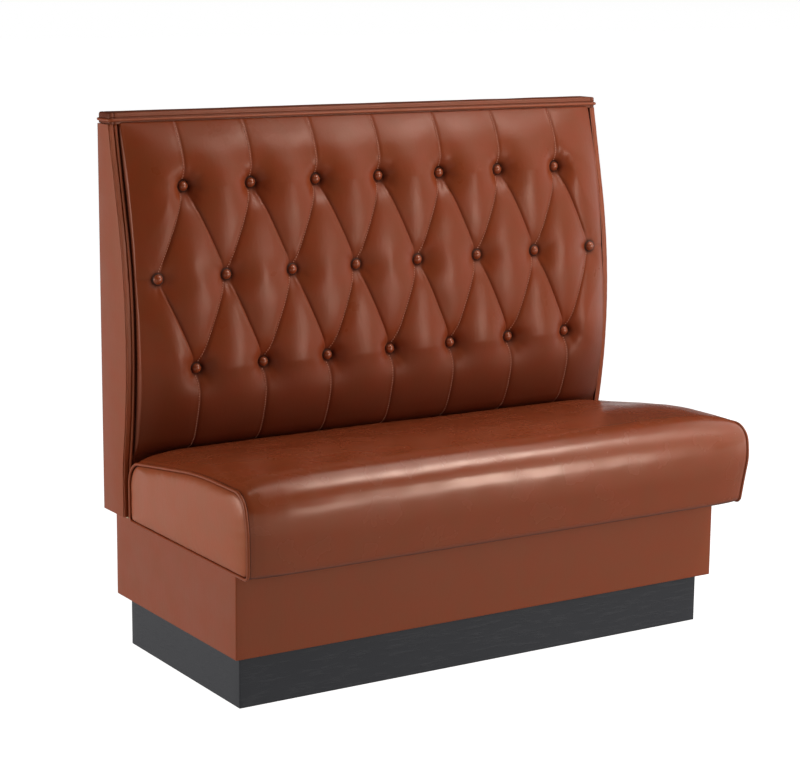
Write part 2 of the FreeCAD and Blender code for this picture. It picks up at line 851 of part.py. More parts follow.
def back_fixings(front, rear, rail_top):
    """Bolts that hold the back's bottom rail down on the deck, and angles at its inner ribs."""
    middle = (front + rear) / 2
    low = D.base_top - D.panel
    bolts = []
    washers = []
    nuts = []
    for place_x in (-D.bolt_place, -D.bolt_place / 4, D.bolt_place / 4, D.bolt_place):
        head = doc.addObject("Part::Prism", "bolt_head")
        head.Polygon = 6
        bind(head, "Circumradius", D.bolt_radius * 1.85)
        bind(head, "Height", 5.5)
        place(head, place_x, middle, rail_top + 1.6)
        shank = rod("bolt_shank", D.bolt_radius, rail_top + 1.6 - low + 6, "z", place_x, middle, low - 6)
        bolts.append(fuse("bolt", [head, shank]))
        disc = rod("washer_disc", D.bolt_radius * 2.5, 1.6, "z", place_x, middle, rail_top)
        washers.append(cut("washer", disc, shank))
        barrel = rod("nut_barrel", D.bolt_radius + 1.5, D.panel - 1, "z", place_x, middle, low)
        flange = rod("nut_flange", D.bolt_radius * 2.8, 1.5, "z", place_x, middle, low - 1.5)
        nuts.append(cut("tee_nut", fuse("tee_nut_blank", [barrel, flange]), shank))
    keep("back_bolts", group("back_bolts", bolts))
    keep("back_washers", group("back_washers", washers))
    keep("back_tee_nuts", group("back_tee_nuts", nuts))
    drill(PIECES["back_bolts"], "back_bottom_rail", "base_deck")
    drill(PIECES["back_tee_nuts"], "base_deck")
    angles = []
    for place_x, way in ((-D.rib_place + D.board / 2, 1), (D.rib_place - D.board / 2, -1)):
        leg = box("angle_leg", span(1, place_x, place_x + 2) if way > 0 else (place_x - 2, place_x),
                  (middle - 10, middle + 10), (rail_top, rail_top + 40))
        foot = box("angle_foot", span(1, place_x, place_x + 40) if way > 0 else (place_x - 40, place_x),
                   (middle - 10, middle + 10), (rail_top, rail_top + 2))
        angles.append(fuse("angle", [leg, foot]))
    keep("rib_brackets", group("rib_brackets", angles))


def cap():
    """The upholstered rail along the top, with a welt round its lower edge."""
    half = D.cap_length / 2
    rear = D.back_rear
    low = D.back_top
    blank = box("cap_blank", (-half, half), (D.cap_front, rear), (low, D.cap_top))
    doc.recompute()
    rounding = doc.addObject("Part::Fillet", "cap_rounding")
    rounding.Base = blank
    rounding.Edges = [
        (number, 5.0, 5.0)
        for number, edge in enumerate(blank.Shape.Edges, start=1)
        if edge.CenterOfMass.z > low.value + 1
    ]
    core = (half - 10, D.cap_front + 10, rear - 6, low + D.panel)
    hollow = box("cap_hollow", (-core[0], core[0]), (core[1], core[2]), (low, core[3]))
    keep("cap_cover", cut("cap_cover", rounding, hollow))
    board("cap_board", (-core[0], core[0]), (core[1], core[2]), (low, core[3]))
    radius = D.cap_welt.value
    reach = half.value + radius + 0.05
    front = D.cap_front.value - radius - 0.05
    level = low.value + radius + 0.5
    corners = [
        ((-reach, rear.value - 4, level), 0), ((-reach, front, level), 7),
        ((reach, front, level), 7), ((reach, rear.value - 4, level), 0),
    ]
    feature("cap_welt", cord(rounded_path(corners), radius))


plinth()
base()
seat()
deck_clips()
back()
cap()
doc.recompute()

for thing in doc.Objects:
    if "Invalid" in thing.State or "Error" in thing.State:
        raise RuntimeError(f"{thing.Label} failed: {thing.State} {thing.getStatusString()}")
for label, piece in PIECES.items():
    if piece.Shape.isNull() or not piece.Shape.isValid():
        raise RuntimeError(f"{label} has no valid shape")

os.makedirs("parts", exist_ok=True)
for label, piece in PIECES.items():
    piece.Shape.exportStep(f"parts/{label}.step")
    print(label, len(piece.Shape.Solids), "solids", len(piece.Shape.Faces), "faces")
print(len(PIECES), "nodes")
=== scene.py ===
import math

import bmesh
import bpy
import numpy as np
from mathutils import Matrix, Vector


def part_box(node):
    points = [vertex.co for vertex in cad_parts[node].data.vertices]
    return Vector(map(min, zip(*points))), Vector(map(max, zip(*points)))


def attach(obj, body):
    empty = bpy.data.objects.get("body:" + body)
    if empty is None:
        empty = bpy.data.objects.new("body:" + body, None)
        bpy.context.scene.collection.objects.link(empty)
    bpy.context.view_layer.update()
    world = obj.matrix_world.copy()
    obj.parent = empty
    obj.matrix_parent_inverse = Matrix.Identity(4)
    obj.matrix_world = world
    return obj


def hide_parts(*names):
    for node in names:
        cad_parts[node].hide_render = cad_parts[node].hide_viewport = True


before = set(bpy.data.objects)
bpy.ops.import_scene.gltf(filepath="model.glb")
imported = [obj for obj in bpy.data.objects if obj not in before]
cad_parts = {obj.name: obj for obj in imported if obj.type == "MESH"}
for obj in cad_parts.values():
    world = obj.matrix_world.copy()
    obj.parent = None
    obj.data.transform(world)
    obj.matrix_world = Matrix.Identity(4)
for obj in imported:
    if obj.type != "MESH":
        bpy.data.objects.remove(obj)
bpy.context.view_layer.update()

# Sizes are in millimetres, in the frame of the CAD model: X along the booth, -Y its front, Z up.
PLINTH_TOP = 104
DECK = 275
FRAME_HALF, FRAME_REAR, FRAME_FRONT = 556, 186, -268
SEAT_HALF = 570
SEAT_HOLLOW_TOP = 383
BACK_HALF, BACK_REAR = 583, 302
BACK_LOW, BACK_TOP = 282, 1046
REAR_PANEL_FACE = 300.8
CAP_HALF = 580.5

# Buttons: how many in each row, how far back, how high.
BUTTON_PITCH = 148.4
TOP_ROW, MIDDLE_ROW, LOW_ROW = 926, 753, 575
BUTTON_ROWS = ((7, 214, TOP_ROW), (8, 177, MIDDLE_ROW), (7, 164, LOW_ROW))
BUTTON_RIM = 12.2

# The cushion's crown and its sewn edge: height, how far back.
CUSHION_HALF = 562.6
CUSHION_TOP = BACK_TOP
CUSHION_FOOT = 402
FLAP_FOOT = 300
FLAP_FACE = 209.6
FLANGE_HALF = 572.6
CROWN_LINE = (
    (402, 208), (422, 178), (432, 169), (446, 162), (480, 149.5), (520, 138.5), (560, 135),
    (640, 141), (806, 163), (968, 197), (1000, 210.5), (1024, 225), (1038, 238), (1046, 249),
)
EDGE_LINE = (
    (402, 211), (418, 206), (428, 204), (440, 201.5), (540, 190.5), (640, 190), (806, 205),
    (968, 237), (1008, 246), (1030, 251), (1046, 256),
)

# Outlines seen from an end: how far back, height, radius of the corner.
BACK_CURVE = ((211, BACK_LOW, 0), (211, 386, 170), (165.7, 644, 1200), (254.1, BACK_TOP, 0))
SEAT_EDGE = (
    (203, DECK, 8), (203, 393.5, 46), (-103, 435.5, 900),
    (-284, 434, 40), (-294, 370, 120), (-281, 273, 12),
)
SEAT_CROWN = (
    (201, DECK, 8), (201, 414, 42), (-110, 457, 900),
    (-298, 458, 72), (-306, 362, 200), (-290, 273, 12),
)
SEAT_SHARES = ((0, 1), (400, 0.96), (500, 0.87), (545, 0.65), (562, 0.35), (SEAT_HALF, 0))

# Colours of the vinyl: the plain covers; the others are copies of the same vinyl made lighter (the seat
# ends) or darker (the cushion, the top rail) to stand in for how light falls on them, which is painted
# light and shade; and the painted shade colour that folds, crevices and shaded spots are darkened toward.
COGNAC = (0.305, 0.061, 0.0189)
SEAT_COGNAC = (0.3, 0.058, 0.0178)
SHADED_CUSHION_COGNAC = (0.242, 0.0445, 0.0132)
LIT_END_COGNAC = (0.4, 0.093, 0.033)
SHADED_RAIL_COGNAC = (0.235, 0.0465, 0.0145)
PAINTED_SHADE_COGNAC = (0.04, 0.0055, 0.0015)
WARM_GLOSS = (1, 0.74, 0.6, 1)


def portion(value):
    """A value kept between 0 and 1."""
    return np.clip(value, 0, 1)


class Finish:
    """A material under construction: its shader, and short calls to add and join nodes."""

    def __init__(self, name, colour, rough, metal=0.0, shine=0.5):
        self.material = bpy.data.materials.new(name)
        self.material.use_nodes = True
        self.tree = self.material.node_tree
        self.shader = self.tree.nodes["Principled BSDF"]
        self.shader.inputs["Base Color"].default_value = (*colour, 1)
        self.shader.inputs["Roughness"].default_value = rough
        self.shader.inputs["Metallic"].default_value = metal
        self.shader.inputs["Specular IOR Level"].default_value = shine
        self.place = self.add("ShaderNodeTexCoord").outputs["Object"]

    def add(self, kind, values=None, **settings):
        node = self.tree.nodes.new(kind)
        for name, value in settings.items():
            setattr(node, name, value)
        for name, value in (values or {}).items():
            node.inputs[name].default_value = value
        return node

    def join(self, output, socket):
        self.tree.links.new(output, socket)

    def stretched(self, scale, turn=(0, 0, 0)):
        """The object's own coordinates, stretched and turned."""
        mapping = self.add("ShaderNodeMapping", {"Scale": scale, "Rotation": turn})
        self.join(self.place, mapping.inputs["Vector"])
        return mapping.outputs["Vector"]

    def noise(self, scale, detail=2.0, rough=0.5, vector=None):
        node = self.add("ShaderNodeTexNoise", {"Scale": scale, "Detail": detail, "Roughness": rough})
        self.join(vector or self.place, node.inputs["Vector"])
        return node.outputs["Fac"]

    def cells(self, scale, feature="F1", vector=None):
        node = self.add("ShaderNodeTexVoronoi", {"Scale": scale}, feature=feature)
        self.join(vector or self.place, node.inputs["Vector"])
        return node.outputs["Distance"]

    def steps(self, source, low, high, start=0.0, end=1.0):
        """A value moved from one range to another and kept inside it."""
        node = self.add("ShaderNodeMapRange", {
            "From Min": start, "From Max": end, "To Min": low, "To Max": high,
        })
        self.join(source, node.inputs["Value"])
        return node.outputs["Result"]

    def blend(self, share, first, second):
        """A colour between two; each is a colour or another node's output."""
        node = self.add("ShaderNodeMix", data_type="RGBA")
        for socket, value in ((node.inputs[0], share), (node.inputs[6], first), (node.inputs[7], second)):
            if isinstance(value, bpy.types.NodeSocket):
                self.join(value, socket)
            else:
                socket.default_value = (*value, 1) if isinstance(value, tuple) else value
        return node.outputs[2]

    def relief(self, height, strength, depth, under=None):
        node = self.add("ShaderNodeBump", {"Strength": strength, "Distance": depth})
        self.join(height, node.inputs["Height"])
        if under is not None:
            self.join(under, node.inputs["Normal"])
        return node.outputs["Normal"]

    def colour(self, output):
        self.join(output, self.shader.inputs["Base Color"])

    def rough(self, output):
        self.join(output, self.shader.inputs["Roughness"])

    def surface(self, output):
        self.join(output, self.shader.inputs["Normal"])


def upholstery_vinyl(name, colour, rough, gloss=1.5, shine=0.5, pressed=0.1):
    """Cognac vinyl: a fine pressed grain, slow changes of tone, and painted shade: a darker, rougher tone
    wherever the 'fold' attribute marks folds, crevices and shaded spots.
    """
    f = Finish(name, colour, rough, shine=shine)
    f.shader.inputs["IOR"].default_value = gloss
    f.shader.inputs["Specular Tint"].default_value = WARM_GLOSS
    red, green, blue = colour
    ruddy = (red * 1.03, green * 0.97, blue * 0.95)
    tan = (red * 0.97, green * 1.04, blue * 1.06)
    skin = f.blend(f.steps(f.noise(24, 3), 0.0, 1.0, 0.35, 0.65), ruddy, tan)
    # The 'fold' attribute is painted shade: it darkens the colour toward the painted shade colour and
    # raises the roughness.
    fold = f.add("ShaderNodeAttribute", attribute_name="fold").outputs["Fac"]
    f.colour(f.blend(fold, skin, PAINTED_SHADE_COGNAC))
    worn = f.steps(f.noise(14, 3), rough - 0.05, rough + 0.06, 0.3, 0.7)
    dull = f.add("ShaderNodeMath", {1: 0.5}, operation="MULTIPLY_ADD")
    f.join(fold, dull.inputs[0])
    f.join(worn, dull.inputs[2])
    f.rough(dull.outputs[0])
    grain = f.relief(f.cells(620, "DISTANCE_TO_EDGE"), pressed, 0.0006)
    pits = f.relief(f.noise(260, 3), pressed, 0.0008, grain)
    brushed = f.noise(1, 3, 0.6, f.stretched((150, 150, 34), (0, 0.2, 0)))
    streaks = f.relief(brushed, 3 * pressed, 0.0006, pits)
    f.surface(f.relief(f.noise(7, 1), 0.2, 0.003, streaks))
    return f.material


def wound(name, dark, light, plies, rough, shine, strength, depth):
    """Thread or twine, with its strands wound round."""
    f = Finish(name, light, rough, shine=shine)
    ply = f.add("ShaderNodeTexWave", {"Scale": plies}, bands_direction="DIAGONAL")
    f.join(f.place, ply.inputs["Vector"])
    f.colour(f.blend(ply.outputs["Fac"], dark, light))
    f.surface(f.relief(ply.outputs["Fac"], strength, depth))
    return f.material


def toe_kick_vinyl():
    """Charcoal vinyl with the fine slanting creases of a leather print."""
    f = Finish("charcoal_vinyl", (0.04, 0.04, 0.045), 0.5, shine=0.35)
    slant = f.stretched((9, 9, 60), (0, math.radians(-26), 0))
    crease = f.steps(f.noise(2.2, 6, 0.62, slant), 0.0, 1.0, 0.52, 0.66)
    tone = f.blend(f.noise(7, 3), (0.037, 0.0375, 0.043), (0.044, 0.0445, 0.05))
    f.colour(f.blend(f.steps(crease, 0, 0.5), tone, (0.064, 0.064, 0.069)))
    f.rough(f.steps(crease, 0.46, 0.6))
    f.surface(f.relief(crease, 0.25, 0.0012, f.relief(f.cells(700), 0.12, 0.0005)))
    return f.material


def timber(name, light, dark, lengthways, rings):
    """Sawn wood: long grain along one axis, and fine pores."""
    f = Finish(name, light, 0.62, shine=0.35)
    grain = f.noise(rings, 5, 0.6, f.stretched(lengthways))
    f.colour(f.blend(f.steps(grain, 0, 1, 0.35, 0.68), light, dark))
    f.rough(f.steps(grain, 0.55, 0.72))
    f.surface(f.relief(grain, 0.3, 0.0008))
    return f.material


def plywood():
    """Birch plywood: a calm face with thin darker plies shown where a sheet is cut."""
    f = Finish("birch_plywood", (0.6, 0.45, 0.28), 0.6, shine=0.35)
    grain = f.noise(14, 5, 0.6, f.stretched((1, 7, 7)))
    ply = f.add("ShaderNodeTexWave", {"Scale": 95.0, "Distortion": 0.6}, bands_direction="Z")
    f.join(f.place, ply.inputs["Vector"])
    face = f.blend(f.steps(grain, 0, 1, 0.35, 0.7), (0.64, 0.49, 0.31), (0.5, 0.35, 0.2))
    f.colour(f.blend(f.steps(ply.outputs["Fac"], 0, 0.35, 0.75, 0.95), face, (0.34, 0.22, 0.12)))
    f.surface(f.relief(grain, 0.25, 0.0006))
    return f.material


def spongy(name, light, dark, cell, depth):
    """Foam, felt and non-woven cloth: open cells or fibres at their real scale."""
    f = Finish(name, light, 0.92, shine=0.2)
    pores = f.cells(cell)
    f.colour(f.blend(f.steps(pores, 0, 1, 0.1, 0.7), light, dark))
    f.surface(f.relief(f.noise(cell * 0.7, 4), 0.6, depth))
    return f.material


def metal_finish(name, colour, rough, scratch):
    """Plated or phosphated steel with fine drawn lines and a slightly cloudy coat."""
    f = Finish(name, colour, rough, metal=1.0)
    cloud = f.noise(35, 3)
    f.colour(f.blend(cloud, tuple(value * 0.82 for value in colour), colour))
    f.rough(f.steps(cloud, rough - 0.08, rough + 0.1))
    f.surface(f.relief(f.noise(60, 2, 0.5, f.stretched((1, 1, 14))), scratch, 0.0003))
    return f.material


def moulded_nylon():
    f = Finish("moulded_nylon", (0.06, 0.06, 0.062), 0.45)
    f.rough(f.steps(f.noise(90, 2), 0.38, 0.55))
    f.surface(f.relief(f.noise(500, 2), 0.15, 0.0004))
    return f.material


SOFT_VINYL = upholstery_vinyl("cognac_cushion_vinyl", SHADED_CUSHION_COGNAC, 0.32, shine=0.28)
SEAT_VINYL = upholstery_vinyl("cognac_seat_vinyl", SEAT_COGNAC, 0.25, gloss=1.66, pressed=0.01)
END_VINYL = upholstery_vinyl("cognac_boxing_vinyl", LIT_END_COGNAC, 0.38, gloss=1.56)
RAIL_VINYL = upholstery_vinyl("cognac_rail_vinyl", SHADED_RAIL_COGNAC, 0.42)
PLAIN_VINYL = upholstery_vinyl("cognac_cover_vinyl", COGNAC, 0.42)
THREAD = wound("cognac_thread", (0.54, 0.22, 0.135), (0.66, 0.3, 0.195), 900.0, 0.6, 0.25, 0.4, 0.0002)
TWINE = wound("waxed_twine", (0.52, 0.46, 0.34), (0.74, 0.69, 0.56), 260.0, 0.7, 0.3, 0.5, 0.0006)
CHARCOAL_VINYL = toe_kick_vinyl()
NODE_FINISHES = {
    "brown_vinyl": PLAIN_VINYL,
    "cushion_vinyl": SOFT_VINYL,
    "dark_vinyl": CHARCOAL_VINYL,
    "plywood": plywood(),
    "hardwood": timber("planed_hardwood", (0.52, 0.36, 0.2), (0.33, 0.2, 0.1), (1, 9, 9), 12),
    "foam": spongy("open_cell_foam", (0.8, 0.75, 0.56), (0.6, 0.52, 0.34), 420, 0.0012),
    "felt": spongy("grey_felt", (0.4, 0.39, 0.37), (0.22, 0.21, 0.2), 300, 0.0015),
    "black_cambric": spongy("black_cambric", (0.02, 0.02, 0.02), (0.05, 0.05, 0.05), 800, 0.0004),
    "twine": TWINE,
    "nylon": moulded_nylon(),
    "spring_wire": metal_finish("phosphated_wire", (0.09, 0.09, 0.095), 0.42, 0.2),
    "zinc_steel": metal_finish("zinc_steel", (0.66, 0.67, 0.69), 0.32, 0.3),
}


def finish_cad_nodes():
    """Every node carried over from the CAD model takes the finish of its slot."""
    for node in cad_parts.values():
        slots = node.data.materials
        for number, material in enumerate(slots):
            slots[number] = NODE_FINISHES[material.name.split(".")[0]]


def placed(name, data):
    """A new object in the scene."""
    thing = bpy.data.objects.new(name, data)
    bpy.context.scene.collection.objects.link(thing)
    return thing


def finished_mesh(thing):
    """A mesh of what an object's modifiers or curves give."""
    graph = bpy.context.evaluated_depsgraph_get()
    return bpy.data.meshes.new_from_object(thing.evaluated_get(graph))


def measured(items, what, width=3, kind=float):
    """One measure of all points, edges or faces of a mesh, in one flat row."""
    values = np.empty(len(items) * width, kind)
    items.foreach_get(what, values)
    return values


def new_piece(name, points, faces, finish, sharp=None):
    """A mesh object from points in millimetres, its faces turned outwards and shaded smooth."""
    mesh = bpy.data.meshes.new(name)
    mesh.from_pydata((np.asarray(points, float) / 1000).tolist(), [], faces)
    shell = bmesh.new()
    shell.from_mesh(mesh)
    bmesh.ops.recalc_face_normals(shell, faces=shell.faces)
    shell.to_mesh(mesh)
    shell.free()
    mesh.shade_smooth()
    if sharp:
        mesh.set_sharp_from_angle(angle=math.radians(sharp))
    mesh.materials.append(finish)
    return placed(name, mesh)


def settle(thing, body, slot, *nodes):
    """A finished piece rides on its body and stands for its CAD nodes."""
    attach(thing, body)
    if nodes:
        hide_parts(*nodes)


def at_place(place, line):
    """A line seen from an end, set at its place along the booth."""
    return np.column_stack([np.full(len(line), place), line])


def at_height(line, height):
    """A line seen from above, set at a height."""
    return np.column_stack([line, np.full(len(line), height)])


def grid_faces(rows, columns, closed=False):
    """Quads between rows of points; a closed row joins its last point to its first."""
    last = columns if closed else columns - 1
    faces = []
    for row in range(rows - 1):
        for column in range(last):
            a = row * columns + column
            b = row * columns + (column + 1) % columns
            faces.append((a, b, b + columns, a + columns))
    return faces


def end_faces(rows, columns):
    """The two faces that close a tube at its ends."""
    last = (rows - 1) * columns
    return [tuple(range(columns)), tuple(range(last, last + columns))]


def joining_faces(rows, columns):
    """Quads from a tube's last ring round to its first."""
    last = (rows - 1) * columns
    return [(last + k, last + (k + 1) % columns, (k + 1) % columns, k) for k in range(columns)]


def divided(line, step):
    """A closed line whose long straight runs are cut into parts."""
    points = []
    for start, end in zip(line, np.roll(line, -1, 0)):
        parts = max(1, int(np.linalg.norm(end - start) // step))
        points += [start + (end - start) * k / parts for k in range(parts)]
    return np.array(points)


def rounded(corners, closed=False, turns=9):
    """A line in one plane through corners (a, b, radius), with each corner rounded."""
    spots = np.array([corner[:2] for corner in corners], float)
    count = len(corners)
    line = []
    for number, here in enumerate(spots):
        radius = corners[number][2]
        ends = not closed and number in (0, count - 1)
        if radius <= 0 or ends:
            line.append(here)
            continue
        before = spots[number - 1] - here
        after = spots[(number + 1) % count] - here
        reach = min(np.linalg.norm(before), np.linalg.norm(after))
        before = before / np.linalg.norm(before)
        after = after / np.linalg.norm(after)
        half = math.acos(np.clip(before @ after, -1, 1)) / 2
        back = min(radius / math.tan(half), reach * 0.98)
        bow = back * math.tan(half)
        middle = here + (before + after) / np.linalg.norm(before + after) * bow / math.sin(half)
        first = here + before * back - middle
        last = here + after * back - middle
        sweep = math.atan2(first[0] * last[1] - first[1] * last[0], first @ last)
        for turn in np.linspace(0, sweep, turns):
            c, s = math.cos(turn), math.sin(turn)
            line.append(middle + (first[0] * c - first[1] * s, first[0] * s + first[1] * c))
    return np.array(line)


def resampled(line, count, closed=False):
    """The same line with evenly spaced points."""
    line = np.asarray(line, float)
    if closed:
        line = np.vstack([line, line[:1]])
    reach = np.concatenate([[0], np.cumsum(np.linalg.norm(np.diff(line, axis=0), axis=1))])
    wanted = np.linspace(0, reach[-1], count + 1 if closed else count)
    if closed:
        wanted = wanted[:-1]
    return np.stack([np.interp(wanted, reach, line[:, axis]) for axis in range(line.shape[1])], axis=1)


def gentle(points, seed, length, height):
    """A slow unevenness over a surface, from a few crossed waves of about one length."""
    dice = np.random.default_rng(seed)
    points = np.asarray(points, float)
    total = np.zeros(len(points))
    for _ in range(7):
        way = dice.normal(size=points.shape[1])
        way = way / np.linalg.norm(way) * 2 * math.pi / (length * dice.uniform(0.6, 1.7))
        total += np.sin(points @ way + dice.uniform(0, 6.28))
    return total / 7 ** 0.5 * height


def welt_cord(name, path, radius, closed, seed, sides=12):
    """Piping: a vinyl-covered cord along a path, slightly uneven where the cover is gathered."""
    path = np.asarray(path, float)
    if closed:
        tangent = np.roll(path, -1, 0) - np.roll(path, 1, 0)
    else:
        tangent = np.gradient(path, axis=0)
    tangent /= np.linalg.norm(tangent, axis=1)[:, None]
    aside = np.cross(tangent[0], (0.31, 0.2, 0.93))
    aside /= np.linalg.norm(aside)
    rings = []
    swell = radius * (1 + gentle(path, seed, 38, 0.022) + gentle(path, seed + 1, 9, 0.012))
    frames = []
    for way in tangent:
        aside = aside - way * (aside @ way)
        aside /= np.linalg.norm(aside)
        frames.append((aside, np.cross(way, aside)))
    twist = 0.0
    if closed:
        first, other = frames[0]
        aside = frames[-1][0] - tangent[0] * (frames[-1][0] @ tangent[0])
        twist = math.atan2(aside @ other, aside @ first)
    for number, (spot, (one, two)) in enumerate(zip(path, frames)):
        start = -twist * number / len(path)
        for turn in np.linspace(0, 2 * math.pi, sides, endpoint=False) + start:
            rings.append(spot + swell[number] * (math.cos(turn) * one + math.sin(turn) * two))
    faces = grid_faces(len(path), sides, closed=True)
    faces += joining_faces(len(path), sides) if closed else end_faces(len(path), sides)
    return new_piece(name, rings, faces, PLAIN_VINYL)


def mark(thing, name, domain, values):
    attribute = thing.data.attributes.new(name, "FLOAT", domain)
    attribute.data.foreach_set("value", np.asarray(values, np.float32))


def mark_painted_shade(thing, depth):
    """Store how much painted shade each point takes: how deep in a fold, crevice or shaded spot it lies,
    for the darker tone of the vinyl.
    """
    mark(thing, "fold", "POINT", depth)


def apply_modifiers(thing):
    """Turn the object's modifiers into its mesh."""
    mesh = finished_mesh(thing)
    thing.modifiers.clear()
    old = thing.data
    thing.data = mesh
    bpy.data.meshes.remove(old)


def evened(mesh, move, held):
    """The moves of a mesh's points, evened out between neighbours, with none where it is held."""
    one, two = measured(mesh.edges, "vertices", 2, int).reshape(-1, 2).T
    count = len(move)
    joined = np.bincount(one, minlength=count) + np.bincount(two, minlength=count)
    for _ in range(14):
        around = [np.bincount(one, move[two, axis], count) + np.bincount(two, move[one, axis], count)
                  for axis in range(3)]
        move = 0.5 * move + 0.5 * np.stack(around, axis=1) / joined[:, None]
        move[held] = 0
    return move


def swollen(thing, held, pressure, most, slack):
    """Cloth simulation: the vinyl fills out from inside, held at its seams.

    No point moves further than most, and the moves are evened out between neighbours.
    """
    mesh = thing.data
    rest = measured(mesh.vertices, "co")
    seams = thing.vertex_groups.new(name="seams")
    seams.add(np.flatnonzero(held).tolist(), 1.0, "REPLACE")
    skin = thing.modifiers.new("vinyl", "CLOTH")
    for name, value in (
        ("vertex_group_mass", "seams"), ("quality", 4), ("mass", 0.004),
        ("tension_stiffness", 18), ("compression_stiffness", 18), ("shear_stiffness", 6),
        ("bending_stiffness", 0.4), ("shrink_min", -slack),
        ("use_pressure", True), ("uniform_pressure_force", pressure),
    ):
        setattr(skin.settings, name, value)
    skin.settings.effector_weights.gravity = 0
    skin.collision_settings.use_collision = False
    skin.point_cache.frame_start = 1
    skin.point_cache.frame_end = 20
    for frame_number in range(1, 21):
        bpy.context.scene.frame_set(frame_number)
    filled = thing.evaluated_get(bpy.context.evaluated_depsgraph_get())
    move = (measured(filled.data.vertices, "co") - rest).reshape(-1, 3)
    reach = np.linalg.norm(move, axis=1)
    move *= (np.minimum(reach, most / 1000) / np.maximum(reach, 1e-9))[:, None]
    move = evened(mesh, move, held)
    thing.modifiers.remove(skin)
    thing.vertex_groups.remove(seams)
    mesh.vertices.foreach_set("co", rest + move.ravel())
    mesh.update()
    bpy.context.scene.frame_set(1)


# The tufted back cushion.

# How finely the net is cut: along a fold, out to the sides, above, below, and down the flap.
STEPS = 34
SIDE_STEPS = 26
TOP_ROWS = 30
FOOT_ROWS = 32
FLAP_ROWS = 6

# How the taut skin is found: the share that sets each step's speed, and how many steps.
SETTLING = 0.9985
SETTLING_STEPS = 420

# Folds: how deep, how much deeper at a button, and how far that reaches.
DIAMOND_FOLD = (11, 9, 26)
UPPER_PLEAT = (4.5, 14, 30)
LOWER_PLEAT = (5.5, 14, 30)
SIDE_FOLD = (6, 8, 15)


def cushion_net():
    """Points of the cushion's face whose net follows every fold, with the fold edges.

    Between the button rows the net slants with the diamond folds; above and below it stands upright.
    """
    half = BUTTON_PITCH / 2
    top, middle, low = (row[2] for row in BUTTON_ROWS)
    reach = 7 * STEPS + SIDE_STEPS
    side = CUSHION_HALF - 7 * half

    def across(i):
        if abs(i) <= 7 * STEPS:
            return i * half / STEPS
        share = (abs(i) - 7 * STEPS) / SIDE_STEPS
        return math.copysign(7 * half + side * (1 - (1 - share) ** 1.35), i)

    rows = [(j, top + (middle - top) * j / STEPS) for j in range(STEPS + 1)]
    rows += [(STEPS + k, middle + (low - middle) * k / STEPS) for k in range(1, STEPS + 1)]
    rows += [(-k, top + (CUSHION_TOP - top) * k / TOP_ROWS) for k in range(1, TOP_ROWS + 1)]
    for k in range(1, FOOT_ROWS + 1):
        share = k / FOOT_ROWS
        share += 0.12 * math.sin(math.pi * share)
        rows.append((2 * STEPS + k, low + (CUSHION_FOOT - low) * share))
    for k in range(1, FLAP_ROWS + 1):
        rows.append((2 * STEPS + FOOT_ROWS + k, CUSHION_FOOT + (FLAP_FOOT - CUSHION_FOOT) * k / FLAP_ROWS))
    index = {}
    spots = []
    for j, z in rows:
        slant = j if 0 <= j <= 2 * STEPS else 0
        for i in range(-reach, reach + 1):
            if (i + slant) % 2 == 0:
                index[i, j] = len(spots)
                spots.append((across(i), z))

    faces = []
    for j in range(2 * STEPS + 1):
        for i in range(-reach, reach + 1):
            if (i + j) % 2:
                corners = [index.get(spot) for spot in ((i - 1, j), (i, j + 1), (i + 1, j), (i, j - 1))]
                if j == 0:
                    corners[3] = None
                if j == 2 * STEPS:
                    corners[1] = None
                left, under, right, over = corners
                if j == STEPS and abs(i) > 7 * STEPS and None not in corners:
                    faces += [(left, under, right), (left, right, over)]
                    continue
                corners = tuple(corner for corner in corners if corner is not None)
                if len(corners) > 2:
                    faces.append(corners)
    even = [i for i in range(-reach, reach + 1) if i % 2 == 0]
    for near, far in zip(even, even[1:]):
        for j in list(range(-TOP_ROWS, 0)) + list(range(2 * STEPS, 2 * STEPS + FOOT_ROWS + FLAP_ROWS)):
            faces.append((index[near, j], index[far, j], index[far, j + 1], index[near, j + 1]))

    folds = []
    for k in range(-3, 4):
        centre = 2 * k * STEPS
        for way in (-1, 1):
            folds.append([index[centre + way * j, j] for j in range(STEPS + 1)])
            folds.append([index[centre + way * j, 2 * STEPS - j] for j in range(STEPS + 1)])
        folds.append([index[centre, -j] for j in range(TOP_ROWS + 1)])
        folds.append([index[centre, 2 * STEPS + j] for j in range(FOOT_ROWS + 1)])
    for way in (-1, 1):
        folds.append([index[way * i, STEPS] for i in range(7 * STEPS, reach + 1, 2)])
    return np.array(spots), faces, folds


